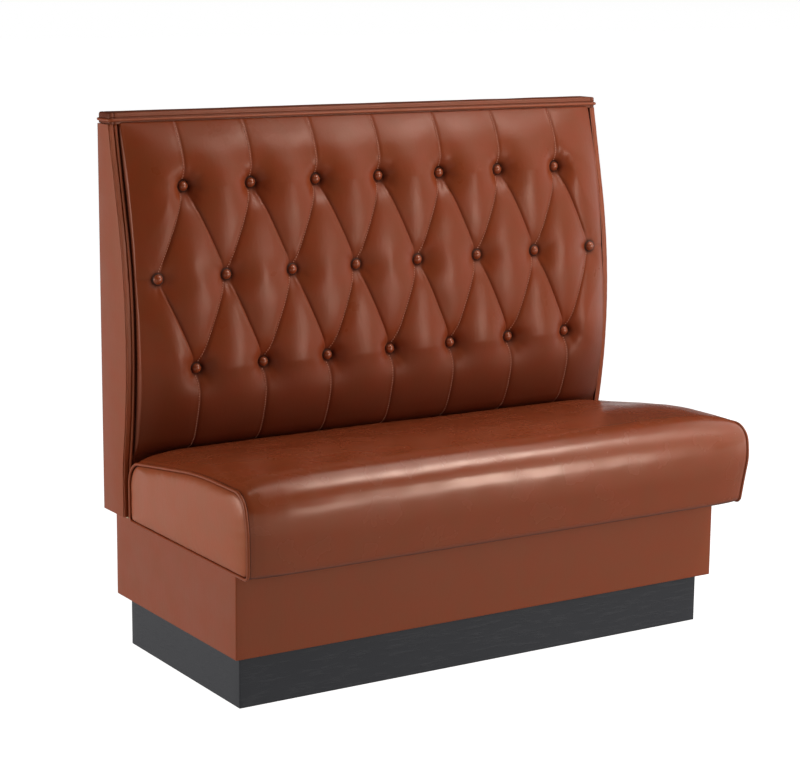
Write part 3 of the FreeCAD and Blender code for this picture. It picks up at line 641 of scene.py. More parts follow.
def spread(spots, faces, fixed, values, push):
    """A field over the net that holds fixed values and settles between them like a taut skin."""
    corners = []
    for face in faces:
        if len(face) == 4:
            a, b, c, d = face
            corners += [(a, b, c), (a, c, d)]
        else:
            corners.append(face)
    corners = np.array(corners)
    pairs = []
    weights = []
    size = np.zeros(len(spots))
    for turn in range(3):
        a, b, c = (corners[:, (turn + k) % 3] for k in range(3))
        one = spots[a] - spots[c]
        two = spots[b] - spots[c]
        cross = np.abs(one[:, 0] * two[:, 1] - one[:, 1] * two[:, 0])
        pairs.append(np.stack([a, b], axis=1))
        weights.append((one * two).sum(1) / cross / 2)
        np.add.at(size, c, cross / 6)
    pairs = np.vstack(pairs)
    weights = np.maximum(np.concatenate(weights), 0.02)
    total = np.zeros(len(spots))
    np.add.at(total, pairs[:, 0], weights)
    np.add.at(total, pairs[:, 1], weights)
    one = np.concatenate([pairs[:, 0], pairs[:, 1]])
    two = np.concatenate([pairs[:, 1], pairs[:, 0]])
    pull = np.concatenate([weights, weights])
    field = values.copy()
    older = values.copy()
    speed = 1.0
    for step in range(SETTLING_STEPS):
        sums = np.bincount(one, pull * field[two], minlength=len(spots))
        settled = (sums + push * size) / total
        settled[fixed] = values[fixed]
        if step == 1:
            speed = 1 / (1 - SETTLING ** 2 / 2)
        elif step > 1:
            speed = 1 / (1 - SETTLING ** 2 * speed / 4)
        field, older = speed * (settled - older) + older, field
        field[fixed] = values[fixed]
    return field


def cushion_lines(z):
    """Where the crown and the sewn edge stand at each height: smooth lines through measured spots."""
    found = []
    for line in (CROWN_LINE, EDGE_LINE):
        height, depth = np.array(line, float).T
        slope = np.gradient(depth, height)
        spot = np.clip(np.searchsorted(height, z) - 1, 0, len(height) - 2)
        gap = height[spot + 1] - height[spot]
        t = portion((z - height[spot]) / gap)
        found.append(
            (2 * t ** 3 - 3 * t ** 2 + 1) * depth[spot] + (t ** 3 - 2 * t ** 2 + t) * gap * slope[spot]
            + (3 * t ** 2 - 2 * t ** 3) * depth[spot + 1] + (t ** 3 - t ** 2) * gap * slope[spot + 1]
        )
    return found


def button_spots():
    return np.array([
        ((number - (count - 1) / 2) * BUTTON_PITCH, depth, height)
        for count, depth, height in BUTTON_ROWS
        for number in range(count)
    ])


def left_neighbours(spots):
    """For each point, the next one on its left at the same height."""
    rows = {}
    for number, (x, z) in enumerate(spots):
        rows.setdefault(round(z, 2), []).append((x, number))
    before = {}
    for row in rows.values():
        row.sort()
        for (_, left), (_, right) in zip(row, row[1:]):
            before[right] = left
    return before


def closer_rings(x, z):
    """The net drawn in round each button, where the vinyl is gathered, with the distance to its button."""
    ring, width = 13, 7
    away = np.full(len(x), 1e6)
    for bx, _, bz in button_spots():
        dx, dz = x - bx, z - bz
        reach = np.hypot(dx, dz)
        step = reach - ring
        pulled = ring + step * (0.6 + 0.4 * np.abs(step) / width)
        scale = np.where(np.abs(step) < width, pulled / np.maximum(reach, 1e-6), 1)
        x, z = bx + dx * scale, bz + dz * scale
        away = np.minimum(away, np.hypot(x - bx, z - bz))
    return x, z, away


def button_pull(x, z):
    """How far back the nearest button stands, and how strongly it draws each point in."""
    sunk = np.zeros(len(x))
    gather = np.zeros(len(x))
    for bx, by, bz in button_spots():
        out = np.maximum(0, np.hypot(x - bx, (z - bz) * 0.94) - BUTTON_RIM)
        pull = 0.72 * np.exp(-(out / 17) ** 1.3) + 0.28 * np.exp(-(out / 1.6) ** 2)
        sunk = np.where(pull > gather, by + 0.8, sunk)
        gather = np.maximum(gather, pull)
    return sunk, gather


def fold_valleys(spots, folds, flap):
    """How deep every fold lies, most of all at its buttons, and which points are held."""
    fixed = flap.copy()
    valley = np.zeros(len(spots))
    for fold in folds:
        fold = np.array(fold)
        fx, fz = spots[fold].T
        run = np.concatenate([[0], np.cumsum(np.hypot(np.diff(fx), np.diff(fz)))])
        if abs(fx[-1] - fx[0]) > 1 and abs(fz[-1] - fz[0]) > 1:
            run = np.minimum(run, run[-1] - run)
            shallow, deeper, reach = DIAMOND_FOLD
        elif fz[-1] > fz[0]:
            shallow, deeper, reach = UPPER_PLEAT
        elif fz[-1] < fz[0]:
            shallow, deeper, reach = LOWER_PLEAT
        else:
            shallow, deeper, reach = SIDE_FOLD
        depth = shallow + deeper * np.exp(-run / reach)
        valley[fold] = np.where(fixed[fold], np.maximum(valley[fold], depth), depth)
        fixed[fold] = True
    return valley, fixed


def button_wrinkles(x, z):
    """Short wrinkles that run out from every button."""
    wrinkle = np.zeros(len(x))
    dice = np.random.default_rng(11)
    for bx, _, bz in button_spots():
        turn = np.arctan2(z - bz, x - bx)
        lines = sum(np.sin(k * turn + dice.uniform(0, 6.28)) for k in (5, 7, 9, 12))
        wrinkle += 0.28 * lines * np.exp(-((np.hypot(x - bx, z - bz) - 27) / 13) ** 2)
    return wrinkle


def tufted_cushion():
    """The diamond-tufted cushion: each cell swells like a taut skin between its folds and buttons."""
    spots, faces, folds = cushion_net()
    x, z, away = closer_rings(*spots.T)
    crown, edge = cushion_lines(np.maximum(z, CUSHION_FOOT))
    inward = CUSHION_HALF - np.abs(x)
    slow_rise = 1 - (1 - portion(inward / 120)) ** 1.8
    quick_rise = 1 - (1 - portion(inward / 5)) ** 2.2
    share = 0.72 * slow_rise + 0.28 * quick_rise
    base = edge + share * (crown - edge)
    base -= 2.9 * np.exp(-((inward - 2.5) / 1.4) ** 2)
    flap = z <= CUSHION_FOOT + 0.01
    base = np.where(flap, np.minimum(base, FLAP_FACE), base)

    sunk, gather = button_pull(x, z)
    valley, fixed = fold_valleys(spots, folds, flap)
    creased = fixed & ~flap
    swell = spread(spots, faces, fixed, np.zeros(len(spots)), 1.0)
    valley = spread(spots, faces, fixed, valley, 0.0)
    beyond = portion(np.maximum(z - TOP_ROW, LOW_ROW - z) / 70)
    diamond = (BUTTON_PITCH / 2) ** 2 * 0.42 * (1 + 1.7 * beyond)
    puff = np.minimum(swell / diamond, 1.1) ** 0.7
    depth = valley * np.maximum(0, 1 - puff)
    depth[creased] += 1.2
    depth = depth * (0.3 + 0.7 * share) * ~flap
    depth = depth + (sunk - base - depth) * gather
    depth += (button_wrinkles(x, z) + gentle(spots, 3, 120, 0.7)) * share * ~flap

    rolled = np.where(z < CUSHION_TOP - 3, 9.2 * portion((z - 1010) / 32) ** 2, 0) * portion(inward / 5)
    points = np.stack([x, base + depth, z + rolled], axis=1)
    before = left_neighbours(spots)
    lipped = [fold for fold in folds if abs(spots[fold[0]][1] - spots[fold[-1]][1]) > 1]
    near = np.array(sorted({before[n] for fold in lipped for n in fold}))
    loose = 1 - gather[near]
    points[near, 0] += 1.5 * loose
    points[near, 1] -= 1.2 * loose
    thing = new_piece("tufted_cushion", points, faces, SOFT_VINYL)
    # Painted shade: the vinyl is darkened in the ring round each button, under the top rail's overhang, in
    # the crevice by the side welts, towards the seat at the bottom, and a little along the creases.
    under_button = portion((13.6 - away) / 1.4) + 0.4 * portion((20 - away) / 7)
    under_cap = portion((z - CUSHION_TOP + 4) / 3)
    under_welt = portion((1.4 - inward) / 1.2)
    by_seat = 0.45 * portion((600 - z) / 130)
    painted_shade_marks = creased * 0.2 * share + under_button + under_cap + under_welt + by_seat
    mark_painted_shade(thing, portion(painted_shade_marks))
    edges = {tuple(sorted(pair)) for fold in folds for pair in zip(fold, fold[1:])}
    folded = [tuple(sorted(edge.vertices)) in edges for edge in thing.data.edges]
    mark(thing, "crease_edge", "EDGE", folded)
    if measured(thing.data.polygons, "normal")[1::3].mean() > 0:
        thing.data.flip_normals()
    rim = (np.abs(x) > CUSHION_HALF - 9) | (z > CUSHION_TOP - 11)
    swollen(thing, fixed | rim | (gather > 0.8), 4.0, 6, slack=0.004)
    smooth = thing.modifiers.new("smooth", "SUBSURF")
    smooth.levels = smooth.render_levels = 1
    smooth.boundary_smooth = "PRESERVE_CORNERS"
    apply_modifiers(thing)
    full = measured(thing.data.vertices, "co").reshape(-1, 3) * 1000
    close_cushion(thing)
    settle(thing, "booth", "cushion_vinyl", "back_cushion")
    rows = []
    for fold in lipped:
        (x0, z0), (x1, z1) = spots[fold[0]], spots[fold[-1]]
        if (x1 - x0) * (z1 - z0) > -1:
            sewn_part = [before[n] for n in fold if gather[n] < 0.85 and z[n] < CUSHION_TOP - 10]
            rows.append(full[sewn_part])
    return rows


def back_depth(z, shift):
    """How far back the curved board's face is at a height."""
    line = rounded(BACK_CURVE, turns=24)
    line = line[np.argsort(line[:, 1])]
    return np.interp(z, line[:, 1], line[:, 0]) + shift


def close_cushion(thing):
    """Fold the cushion's face round its four sides and over the back, so that it is one closed form."""
    shell = bmesh.new()
    shell.from_mesh(thing.data)
    rim = {v for e in shell.edges if e.is_boundary for v in e.verts}
    low, high = FLAP_FOOT / 1000, CUSHION_TOP / 1000
    half = CUSHION_HALF / 1000
    left = sorted((v for v in rim if v.co.x < -half + 1e-4), key=lambda v: v.co.z)
    right = sorted((v for v in rim if v.co.x > half - 1e-4), key=lambda v: v.co.z)
    upper = sorted((v for v in rim if v.co.z > high - 1e-4), key=lambda v: v.co.x)
    lower = sorted((v for v in rim if v.co.z < low + 1e-4), key=lambda v: v.co.x)

    def behind(run, shift, x=None):
        """New points at the heights of a run, a shift behind the board's face."""
        made = []
        for v in run:
            place = (v.co.x if x is None else x, back_depth(v.co.z * 1000, shift) / 1000, v.co.z)
            made.append(shell.verts.new(place))
        return made

    rims = []
    for front, flange in ((left, -FLANGE_HALF / 1000), (right, FLANGE_HALF / 1000)):
        rows = [
            front, behind(front, 0.9), behind(front, 0.9, flange), behind(front, 2.3, flange),
            behind(front, 2.3),
        ]
        for one, two in zip(rows, rows[1:]):
            for k in range(len(front) - 1):
                shell.faces.new((one[k], one[k + 1], two[k + 1], two[k]))
        rims.append(rows)
    rear_left, rear_right = (rows[-1] for rows in rims)
    for k in range(len(left) - 1):
        shell.faces.new((rear_left[k], rear_left[k + 1], rear_right[k + 1], rear_right[k]))
    for run, end in ((upper, -1), (lower, 0)):
        right_edge = [row[end] for row in rims[1][1:]]
        left_edge = [row[end] for row in rims[0][1:]]
        shell.faces.new(run + right_edge + left_edge[::-1])
    bmesh.ops.recalc_face_normals(shell, faces=shell.faces)
    for face in shell.faces:
        face.smooth = True
    shell.to_mesh(thing.data)
    shell.free()
    thing.data.set_sharp_from_angle(angle=math.radians(75))


def stitch_tool():
    """A node tool that sews a row of stitches along curves: a small bead of thread at every step."""
    tree = bpy.data.node_groups.new("stitch_row", "GeometryNodeTree")
    sockets = {}
    for name, kind in (
        ("Row", "Geometry"), ("Step", "Float"), ("Length", "Float"), ("Width", "Float"),
        ("Thread", "Material"),
    ):
        made = tree.interface.new_socket(name=name, in_out="INPUT", socket_type="NodeSocket" + kind)
        sockets[name] = made.identifier
    tree.interface.new_socket(name="Stitches", in_out="OUTPUT", socket_type="NodeSocketGeometry")
    kinds = {
        "start": "NodeGroupInput", "end": "NodeGroupOutput", "line": "GeometryNodeMeshToCurve",
        "steps": "GeometryNodeCurveToPoints", "bead": "GeometryNodeMeshUVSphere",
        "turn": "FunctionNodeAlignRotationToVector", "size": "ShaderNodeCombineXYZ",
        "place": "GeometryNodeInstanceOnPoints", "real": "GeometryNodeRealizeInstances",
        "soft": "GeometryNodeSetShadeSmooth", "finish": "GeometryNodeSetMaterial",
    }
    nodes = {name: tree.nodes.new(kind) for name, kind in kinds.items()}
    nodes["steps"].mode = "LENGTH"
    nodes["turn"].axis = "Z"
    for name, value in (("Segments", 6), ("Rings", 4), ("Radius", 0.5)):
        nodes["bead"].inputs[name].default_value = value
    for giver, output, taker, entry in (
        ("start", "Row", "line", "Mesh"), ("line", "Curve", "steps", "Curve"),
        ("start", "Step", "steps", "Length"), ("steps", "Tangent", "turn", "Vector"),
        ("start", "Width", "size", "X"), ("start", "Width", "size", "Y"),
        ("start", "Length", "size", "Z"), ("steps", "Points", "place", "Points"),
        ("bead", "Mesh", "place", "Instance"), ("turn", "Rotation", "place", "Rotation"),
        ("size", "Vector", "place", "Scale"), ("place", "Instances", "real", "Geometry"),
        ("real", "Geometry", "soft", "Geometry"), ("soft", "Geometry", "finish", "Geometry"),
        ("start", "Thread", "finish", "Material"), ("finish", "Geometry", "end", "Stitches"),
    ):
        tree.links.new(nodes[giver].outputs[output], nodes[taker].inputs[entry])
    return tree, sockets


def fold_stitches(paths):
    """The machine stitches seen along the pleats, each a bead of thread."""
    tree, sockets = stitch_tool()
    points = []
    edges = []
    for path in paths:
        if len(path) > 2:
            first = len(points)
            points += ((path + (0.1, -0.5, 0)) / 1000).tolist()
            edges += [(k, k + 1) for k in range(first, len(points) - 1)]
    lines = bpy.data.meshes.new("fold_stitches_lines")
    lines.from_pydata(points, edges, [])
    row = placed("fold_stitches_lines", lines)
    tool = row.modifiers.new("stitches", "NODES")
    tool.node_group = tree
    for key, value in (("Step", 5.2), ("Length", 2.9), ("Width", 2.2)):
        tool[sockets[key]] = value / 1000
    tool[sockets["Thread"]] = THREAD
    mesh = finished_mesh(row)
    bpy.data.objects.remove(row)
    settle(placed("fold_stitches", mesh), "booth", "cushion_vinyl")


def covered_buttons():
    """22 vinyl-covered buttons: a dome on a sunk rim, turned from its outline, on every tufting spot."""
    outline = np.array([
        (0.0, 8.0), (2.0, 7.9), (4.0, 7.3), (5.8, 6.3), (7.7, 4.9), (9.0, 3.2), (9.7, 1.8),
        (10.1, 0.8), (10.6, 0.2), (11.9, 0.1), (12.4, -0.4), (12.0, -1.2), (0.0, -1.7),
    ])
    sides = 28
    turns = np.linspace(0, 2 * math.pi, sides, endpoint=False)
    points = []
    faces = []
    dark = []
    dice = np.random.default_rng(5)
    for bx, by, bz in button_spots():
        first = len(points)
        lean = dice.uniform(-0.05, 0.05, 2)
        spin = dice.uniform(0, 6.28)
        pleats = 1 + 0.012 * np.sin(9 * turns + spin) + 0.008 * np.sin(14 * turns + 2 * spin)
        points.append((bx, by - outline[0, 1], bz))
        dark.append(0.0)
        for radius, rise in outline[1:-1]:
            # Painted shade: the sunk rim under each dome is darkened, most at its foot.
            dark += [float(portion((2.4 - rise) / 1.6))] * sides
            rim = portion((radius - 6) / 4)
            ring = radius * (1 + (pleats - 1) * rim)
            lift = rise - ring * (np.cos(turns) * lean[0] + np.sin(turns) * lean[1])
            round_button = [bx + ring * np.cos(turns), by - lift, bz + ring * np.sin(turns)]
            points += np.stack(round_button, 1).tolist()
        points.append((bx, by - outline[-1, 1], bz))
        dark.append(1.0)
        rows = len(outline) - 2
        faces += [(first, first + 1 + k, first + 1 + (k + 1) % sides) for k in range(sides)]
        faces += [tuple(first + 1 + v for v in face) for face in grid_faces(rows, sides, closed=True)]
        last = first + 1 + (rows - 1) * sides
        faces += [(last + k, last + (k + 1) % sides, len(points) - 1) for k in range(sides)]
    thing = new_piece("covered_buttons", points, faces, SEAT_VINYL)
    mark_painted_shade(thing, portion(dark))
    settle(thing, "booth", "brown_vinyl", "back_buttons")


# The seat.

def seat_corners(share, inset=0.0):
    """Corners of the seat's outline, seen from its end, between its sewn edge and its crown."""
    corners = []
    for low, high in zip(SEAT_EDGE, SEAT_CROWN):
        corners.append([start + share * (end - start) for start, end in zip(low, high)])
    middle = (corners[0][0] + corners[3][0]) / 2
    break_place = corners[2][0]
    for corner in corners:
        corner[0] += -inset if corner[0] > middle else inset
        corner[1] += -inset if corner[1] > 355 else inset
    corners[2][0] = break_place
    return corners


def end_bulge(y, z):
    """How far the foam pushes the seat's ends out, most at the top of the nose."""
    rise = portion((z - 270) / 140)
    forward = portion((175 - y) / 300)
    return 8 * rise ** 2 * (3 - 2 * rise) * forward ** 2 * (3 - 2 * forward)


def seat_line(share, count):
    """The vinyl's run from under the rear rail, over the seat and round to under the front rail."""
    corners = [(FRAME_REAR, DECK, 0)] + seat_corners(share) + [(FRAME_FRONT, DECK, 0)]
    return resampled(rounded(corners, turns=14), count)


def seat_cushion():
    """The sprung seat: one crowned cover with a waterfall front, pulled under the frame's rails."""
    places = np.unique(np.round(np.concatenate([
        np.linspace(-SEAT_HALF, -552, 10), np.linspace(-552, -480, 15), np.linspace(-480, 480, 121),
        np.linspace(480, 552, 15), np.linspace(552, SEAT_HALF, 10), [-FRAME_HALF, FRAME_HALF],
    ]), 3))
    reach, shares = np.array(SEAT_SHARES, float).T
    away = np.abs(places)
    share = np.interp(away, reach, shares)
    soft = 1 - (1 - portion((SEAT_HALF - away) / 170)) ** 3.6
    share = portion(0.5 * share + 0.5 * soft) * (away < SEAT_HALF - 0.1)
    count = 132
    rows = []
    for spot, amount in zip(places, share):
        line = seat_line(amount, count)
        rows.append(at_place(spot, line))
    points = np.array(rows)
    flat = points.reshape(-1, 3)
    tangent = np.gradient(points, axis=1)
    normal = np.stack([np.zeros(points.shape[:2]), -tangent[:, :, 2], tangent[:, :, 1]], axis=2)
    normal /= np.linalg.norm(normal, axis=2)[:, :, None] + 1e-9
    normal = normal.reshape(-1, 3)
    top = portion((flat[:, 2] - 290) / 60)
    inside = portion((SEAT_HALF - np.abs(flat[:, 0])) / 20)
    lift = gentle(flat, 21, 260, 0.55) + gentle(flat, 22, 90, 0.22)
    end_pull = np.exp(-((SEAT_HALF - np.abs(flat[:, 0])) / 26))
    lift += end_pull * gentle(flat[:, 1:], 23, 42, 0.5)
    flat = flat - normal * (lift * top * inside)[:, None]
    near_end = portion((np.abs(flat[:, 0]) - 450) / 120) ** 2
    flat[:, 0] += np.sign(flat[:, 0]) * near_end * end_bulge(flat[:, 1], flat[:, 2])

    faces = grid_faces(len(places), count)
    for row in range(len(places) - 1):
        if abs(places[row] + places[row + 1]) / 2 > FRAME_HALF:
            a = row * count
            faces.append((a, a + count, a + 2 * count - 1, a + count - 1))
    first = int(np.argmin(np.abs(places + FRAME_HALF)))
    last = int(np.argmin(np.abs(places - FRAME_HALF)))
    ceiling = len(flat)
    hollow = [(places[row], y, SEAT_HOLLOW_TOP) for row in (first, last) for y in (FRAME_REAR, FRAME_FRONT)]
    flat = np.vstack([flat, hollow])
    rear = [row * count for row in range(first, last + 1)]
    front = [row * count + count - 1 for row in range(first, last + 1)]
    faces += [
        tuple(rear) + (ceiling + 2, ceiling), tuple(front) + (ceiling + 3, ceiling + 1),
        (rear[0], front[0], ceiling + 1, ceiling), (rear[-1], front[-1], ceiling + 3, ceiling + 2),
        (ceiling, ceiling + 1, ceiling + 3, ceiling + 2),
    ]
    faces += end_faces(len(places), count)
    thing = new_piece("seat_cushion", flat, faces, SEAT_VINYL, sharp=60)
    # Painted shade: the cover is darkened in the crevice beside each end welt and at its lowest part, under
    # the rails.
    sewn_edge = SEAT_HALF + end_bulge(flat[:, 1], flat[:, 2])
    by_welt = portion((np.abs(flat[:, 0]) - sewn_edge + 2.2) / 1.6) * 0.8
    beneath = portion((281 - flat[:, 2]) / 4) * 0.7
    mark_painted_shade(thing, np.maximum(by_welt, beneath))
    settle(thing, "seat", "cushion_vinyl", "seat_cover")


def springs():
    """Eight sinuous springs of round wire, running from the front rail to the rear rail."""
    low, high = (np.array(corner) * 1000 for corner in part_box("seat_springs"))
    wire, turn, run, pitch = 1.8, 12, 14, 126
    level = (low[2] + high[2]) / 2
    first = low[1] + wire
    count = round((high[1] - wire - first) / (2 * turn)) + 1
    path = []
    for number in range(count):
        y = first + number * 2 * turn
        way = 1 if number % 2 == 0 else -1
        path.append((-way * run, y, level))
        path.append((way * run, y, level))
        if number < count - 1:
            for bend in np.linspace(0, math.pi, 9)[1:-1]:
                path.append((way * (run + turn * math.sin(bend)), y + turn * (1 - math.cos(bend)), level))
    wires = bpy.data.curves.new("seat_springs_wire", "CURVE")
    wires.dimensions = "3D"
    wires.bevel_depth = wire / 1000
    wires.bevel_resolution = 2
    wires.use_fill_caps = True
    for place in range(8):
        line = np.array(path) + ((place - 3.5) * pitch, 0, 0)
        spline = wires.splines.new("POLY")
        spline.points.add(len(line) - 1)
        spline.points.foreach_set("co", np.column_stack([line / 1000, np.ones(len(line))]).ravel())
    curve = placed("seat_springs_wire", wires)
    mesh = finished_mesh(curve)
    bpy.data.objects.remove(curve)
    mesh.shade_smooth()
    mesh.materials.clear()
    mesh.materials.append(NODE_FINISHES["spring_wire"])
    settle(placed("sinuous_springs", mesh), "seat", "spring_wire", "seat_springs")


def seat_end(side, word):
    """One boxed end of the seat: a stuffed panel inside its welt, puckered where the welt turns."""
    outline = rounded(seat_corners(0, 3.9), closed=True, turns=16)
    outline = resampled(outline, 220, closed=True)
    centre = np.array([-55.0, 350.0])
    shrink = np.array([0, 0.0, 0.012, 0.028, 0.05, 0.085, 0.14, 0.22, 0.34, 0.5, 0.68, 0.85])
    proud = np.array([-1.5, 0.2, 2.4, 4.6, 6.4, 8.2, 10.0, 11.4, 12.5, 13.2, 13.5, 13.6])
    turn = np.arctan2(outline[:, 1] - centre[1], outline[:, 0] - centre[0])
    pucker = gentle(np.column_stack([np.cos(turn), np.sin(turn)]) * 140, 31 + side, 21, 0.32)
    rows = []
    for part, out in zip(shrink, proud):
        ring = outline + (centre - outline) * part
        fade = math.exp(-((part - 0.08) / 0.1) ** 2)
        bulge = end_bulge(ring[:, 0], ring[:, 1])
        uneven = gentle(ring, 33, 150, 0.35) * min(1, part * 5)
        x = side * (SEAT_HALF + bulge + out + pucker * fade + uneven)
        rows.append(at_place(x, ring))
    middle = 583.7 + end_bulge(*centre)
    points = np.vstack(rows + [[(side * middle, *centre)]])
    count = len(outline)
    faces = grid_faces(len(rows), count, closed=True)
    top = (len(rows) - 1) * count
    faces += [(top + k, top + (k + 1) % count, len(points) - 1) for k in range(count)]
    faces.append(tuple(range(count)))
    thing = new_piece(f"seat_{word}_end_panel", points, faces, END_VINYL)
    # Painted shade: the panel is darkened in the groove along its welt.
    dark = np.interp(shrink, (0, 0.012, 0.028), (1, 0.5, 0))
    mark_painted_shade(thing, np.append(np.repeat(dark, count), 0))
    settle(thing, "seat", "brown_vinyl", f"seat_{word}_boxing")


def seat_piping(side, word):
    path = resampled(rounded(seat_corners(0, 1), closed=True, turns=16), 330, closed=True)
    path = at_place(side * (573.2 + end_bulge(path[:, 0], path[:, 1])), path)
    thing = welt_cord(f"seat_{word}_piping", path, 3.1, True, 41 + side)
    settle(thing, "seat", "brown_vinyl", f"seat_{word}_welt")


# The back's frame covers.

def back_end(side, word):
    """One end of the back: vinyl drawn over the panel, with the stitched border strip down its front."""
    heights = np.linspace(BACK_LOW, BACK_TOP, 190)
    front = back_depth(heights, 0)
    rows = []
    for height, face in zip(heights, front):
        edge = 571.8 + 0.4 * math.sin(height / 17.0) + 0.3 * math.sin(height / 6.3 + 1)
        seam = 581.2 + 0.5 * math.sin(height / 13.0) + 0.35 * math.sin(height / 4.7 + 2)
        line = rounded([
            (edge, face + 3.0, 0), (edge, face + 0.1, 1.2), (seam - 1.2, face + 0.1, 0.8),
            (seam, face + 2.0, 0.3), (BACK_HALF, face + 0.2, 1.2), (BACK_HALF, REAR_PANEL_FACE, 1.0),
            (579.2, REAR_PANEL_FACE, 0), (579.2, face + 3.4, 0),
        ], turns=5)
        rows.append(at_height(line * (side, 1), height))
    points = np.array(rows)
    rows, columns = points.shape[:2]
    flat = points.reshape(-1, 3)
    faces = grid_faces(rows, columns, closed=True) + end_faces(rows, columns)
    thing = new_piece(f"back_{word}_end_vinyl", flat, faces, PLAIN_VINYL, sharp=50)
    settle(thing, "booth", "brown_vinyl", f"back_{word}_end_cover")


def back_piping(side, word):
    heights = np.linspace(285, 1045, 210)
    path = np.column_stack([np.full(210, side * 567.5), back_depth(heights, -1), heights])
    thing = welt_cord(f"back_{word}_piping", path, 2.55, False, 51 + side)
    # Painted shade: the side of the cord that faces the cushion is darkened, for the crevice between them.
    facing = measured(thing.data.vertices, "normal")[::3]
    mark_painted_shade(thing, portion((-side * facing - 0.1) / 0.4))
    settle(thing, "booth", "brown_vinyl", f"back_{word}_welt")


def edged(low, high, count, near, far):
    """Places from low to high, closer together at the turned edges."""
    edge = np.array([0, near, far])
    return np.concatenate([low + edge, np.linspace(low + 4, high - 4, count), high - edge[::-1]])


def rear_vinyl():
    """The outside back: one sheet of vinyl drawn over the rear panel, its edges turned in."""
    across = edged(-BACK_HALF, BACK_HALF, 70, 0.3, 1.2)
    upward = edged(BACK_LOW, BACK_TOP, 50, 0.3, 1.2)
    grid_x, grid_z = np.meshgrid(across, upward)
    x, z = grid_x.ravel(), grid_z.ravel()
    inward = np.minimum(BACK_HALF - np.abs(x), np.minimum(z - BACK_LOW, BACK_TOP - z))
    flat = np.column_stack([x, z])
    depth = BACK_REAR - 1 + 1.0 * (1 - (1 - portion(inward / 3)) ** 2)
    depth += (gentle(flat, 61, 240, 0.3) + gentle(flat, 62, 70, 0.1)) * portion(inward / 40)
    over_rail = portion((566 - np.abs(x)) / 10) * portion((286 - z) / 4)
    points = np.column_stack([x, depth, z - 6.3 * over_rail])
    columns, rows = len(across), len(upward)
    faces = grid_faces(rows, columns)
    corners = [0, columns - 1, rows * columns - 1, (rows - 1) * columns]
    base = len(points)
    points = np.vstack([points, [(points[c][0], REAR_PANEL_FACE, points[c][2]) for c in corners]])
    runs = (
        list(range(columns)), [columns - 1 + k * columns for k in range(rows)],
        [rows * columns - 1 - k for k in range(columns)], [(rows - 1 - k) * columns for k in range(rows)],
    )
    for number, run in enumerate(runs):
        faces.append(tuple(run) + (base + (number + 1) % 4, base + number))
    faces.append((base, base + 1, base + 2, base + 3))
    thing = new_piece("back_rear_vinyl", points, faces, PLAIN_VINYL, sharp=50)
    settle(thing, "booth", "brown_vinyl", "back_rear_cover")


def wrapped_box(name, half, front, rear, low, high, radius, finish, seed):
    """Vinyl drawn round a box: soft upright corners, turned edges, and a face that isn't quite flat."""
    skin = 1.2

    def loop(inset, turn):
        corners = [(-half + inset, front + inset, turn), (half - inset, front + inset, turn),
                   (half - inset, rear - inset, turn), (-half + inset, rear - inset, turn)]
        return divided(rounded(corners, closed=True, turns=7), 24)

    outer = loop(0, radius)
    inner = loop(skin, radius - skin * 0.6)
    inner = np.array([inner[np.argmin(np.linalg.norm(inner - spot, axis=1))] for spot in outer])
    middle = np.array([0.0, (front + rear) / 2])
    away = outer - middle
    steep = np.abs(away[:, 0]) / half > np.abs(away[:, 1]) / ((rear - front) / 2)
    outward = np.where(steep[:, None], np.column_stack([np.sign(away[:, 0]), np.zeros(len(away))]),
                       np.column_stack([np.zeros(len(away)), np.sign(away[:, 1])]))
    rows = []
    for height in edged(low, high, 12, 0.5, 1.4):
        edge = min(height - low, high - height)
        turn_in = 0.8 * max(0, 1 - edge / 1.4) ** 2
        wave = gentle(at_height(outer, height), seed, 210, 0.22) * min(1, edge / 12)
        rows.append(at_height(outer + outward * (wave - turn_in)[:, None], height))
    rows += [at_height(inner, high), at_height(inner, low)]
    points = np.vstack(rows)
    count = len(outer)
    faces = grid_faces(len(rows), count, closed=True) + joining_faces(len(rows), count)
    return new_piece(name, points, faces, finish, sharp=50)


def base_and_plinth():
    base = wrapped_box("base_vinyl", 561, -211, 294, PLINTH_TOP, DECK, 3.2, PLAIN_VINYL, 71)
    settle(base, "booth", "brown_vinyl", "base_cover")
    plinth = wrapped_box("plinth_vinyl", 542, -188, 269, 2, PLINTH_TOP, 2.6, CHARCOAL_VINYL, 73)
    settle(plinth, "booth", "dark_vinyl", "plinth_cover")


# The top rail: the height of its two seams, and above what height its vinyl lies on top.

RAIL_SEAMS = (1059.0, 1064.2)
RAIL_CREST = 1060


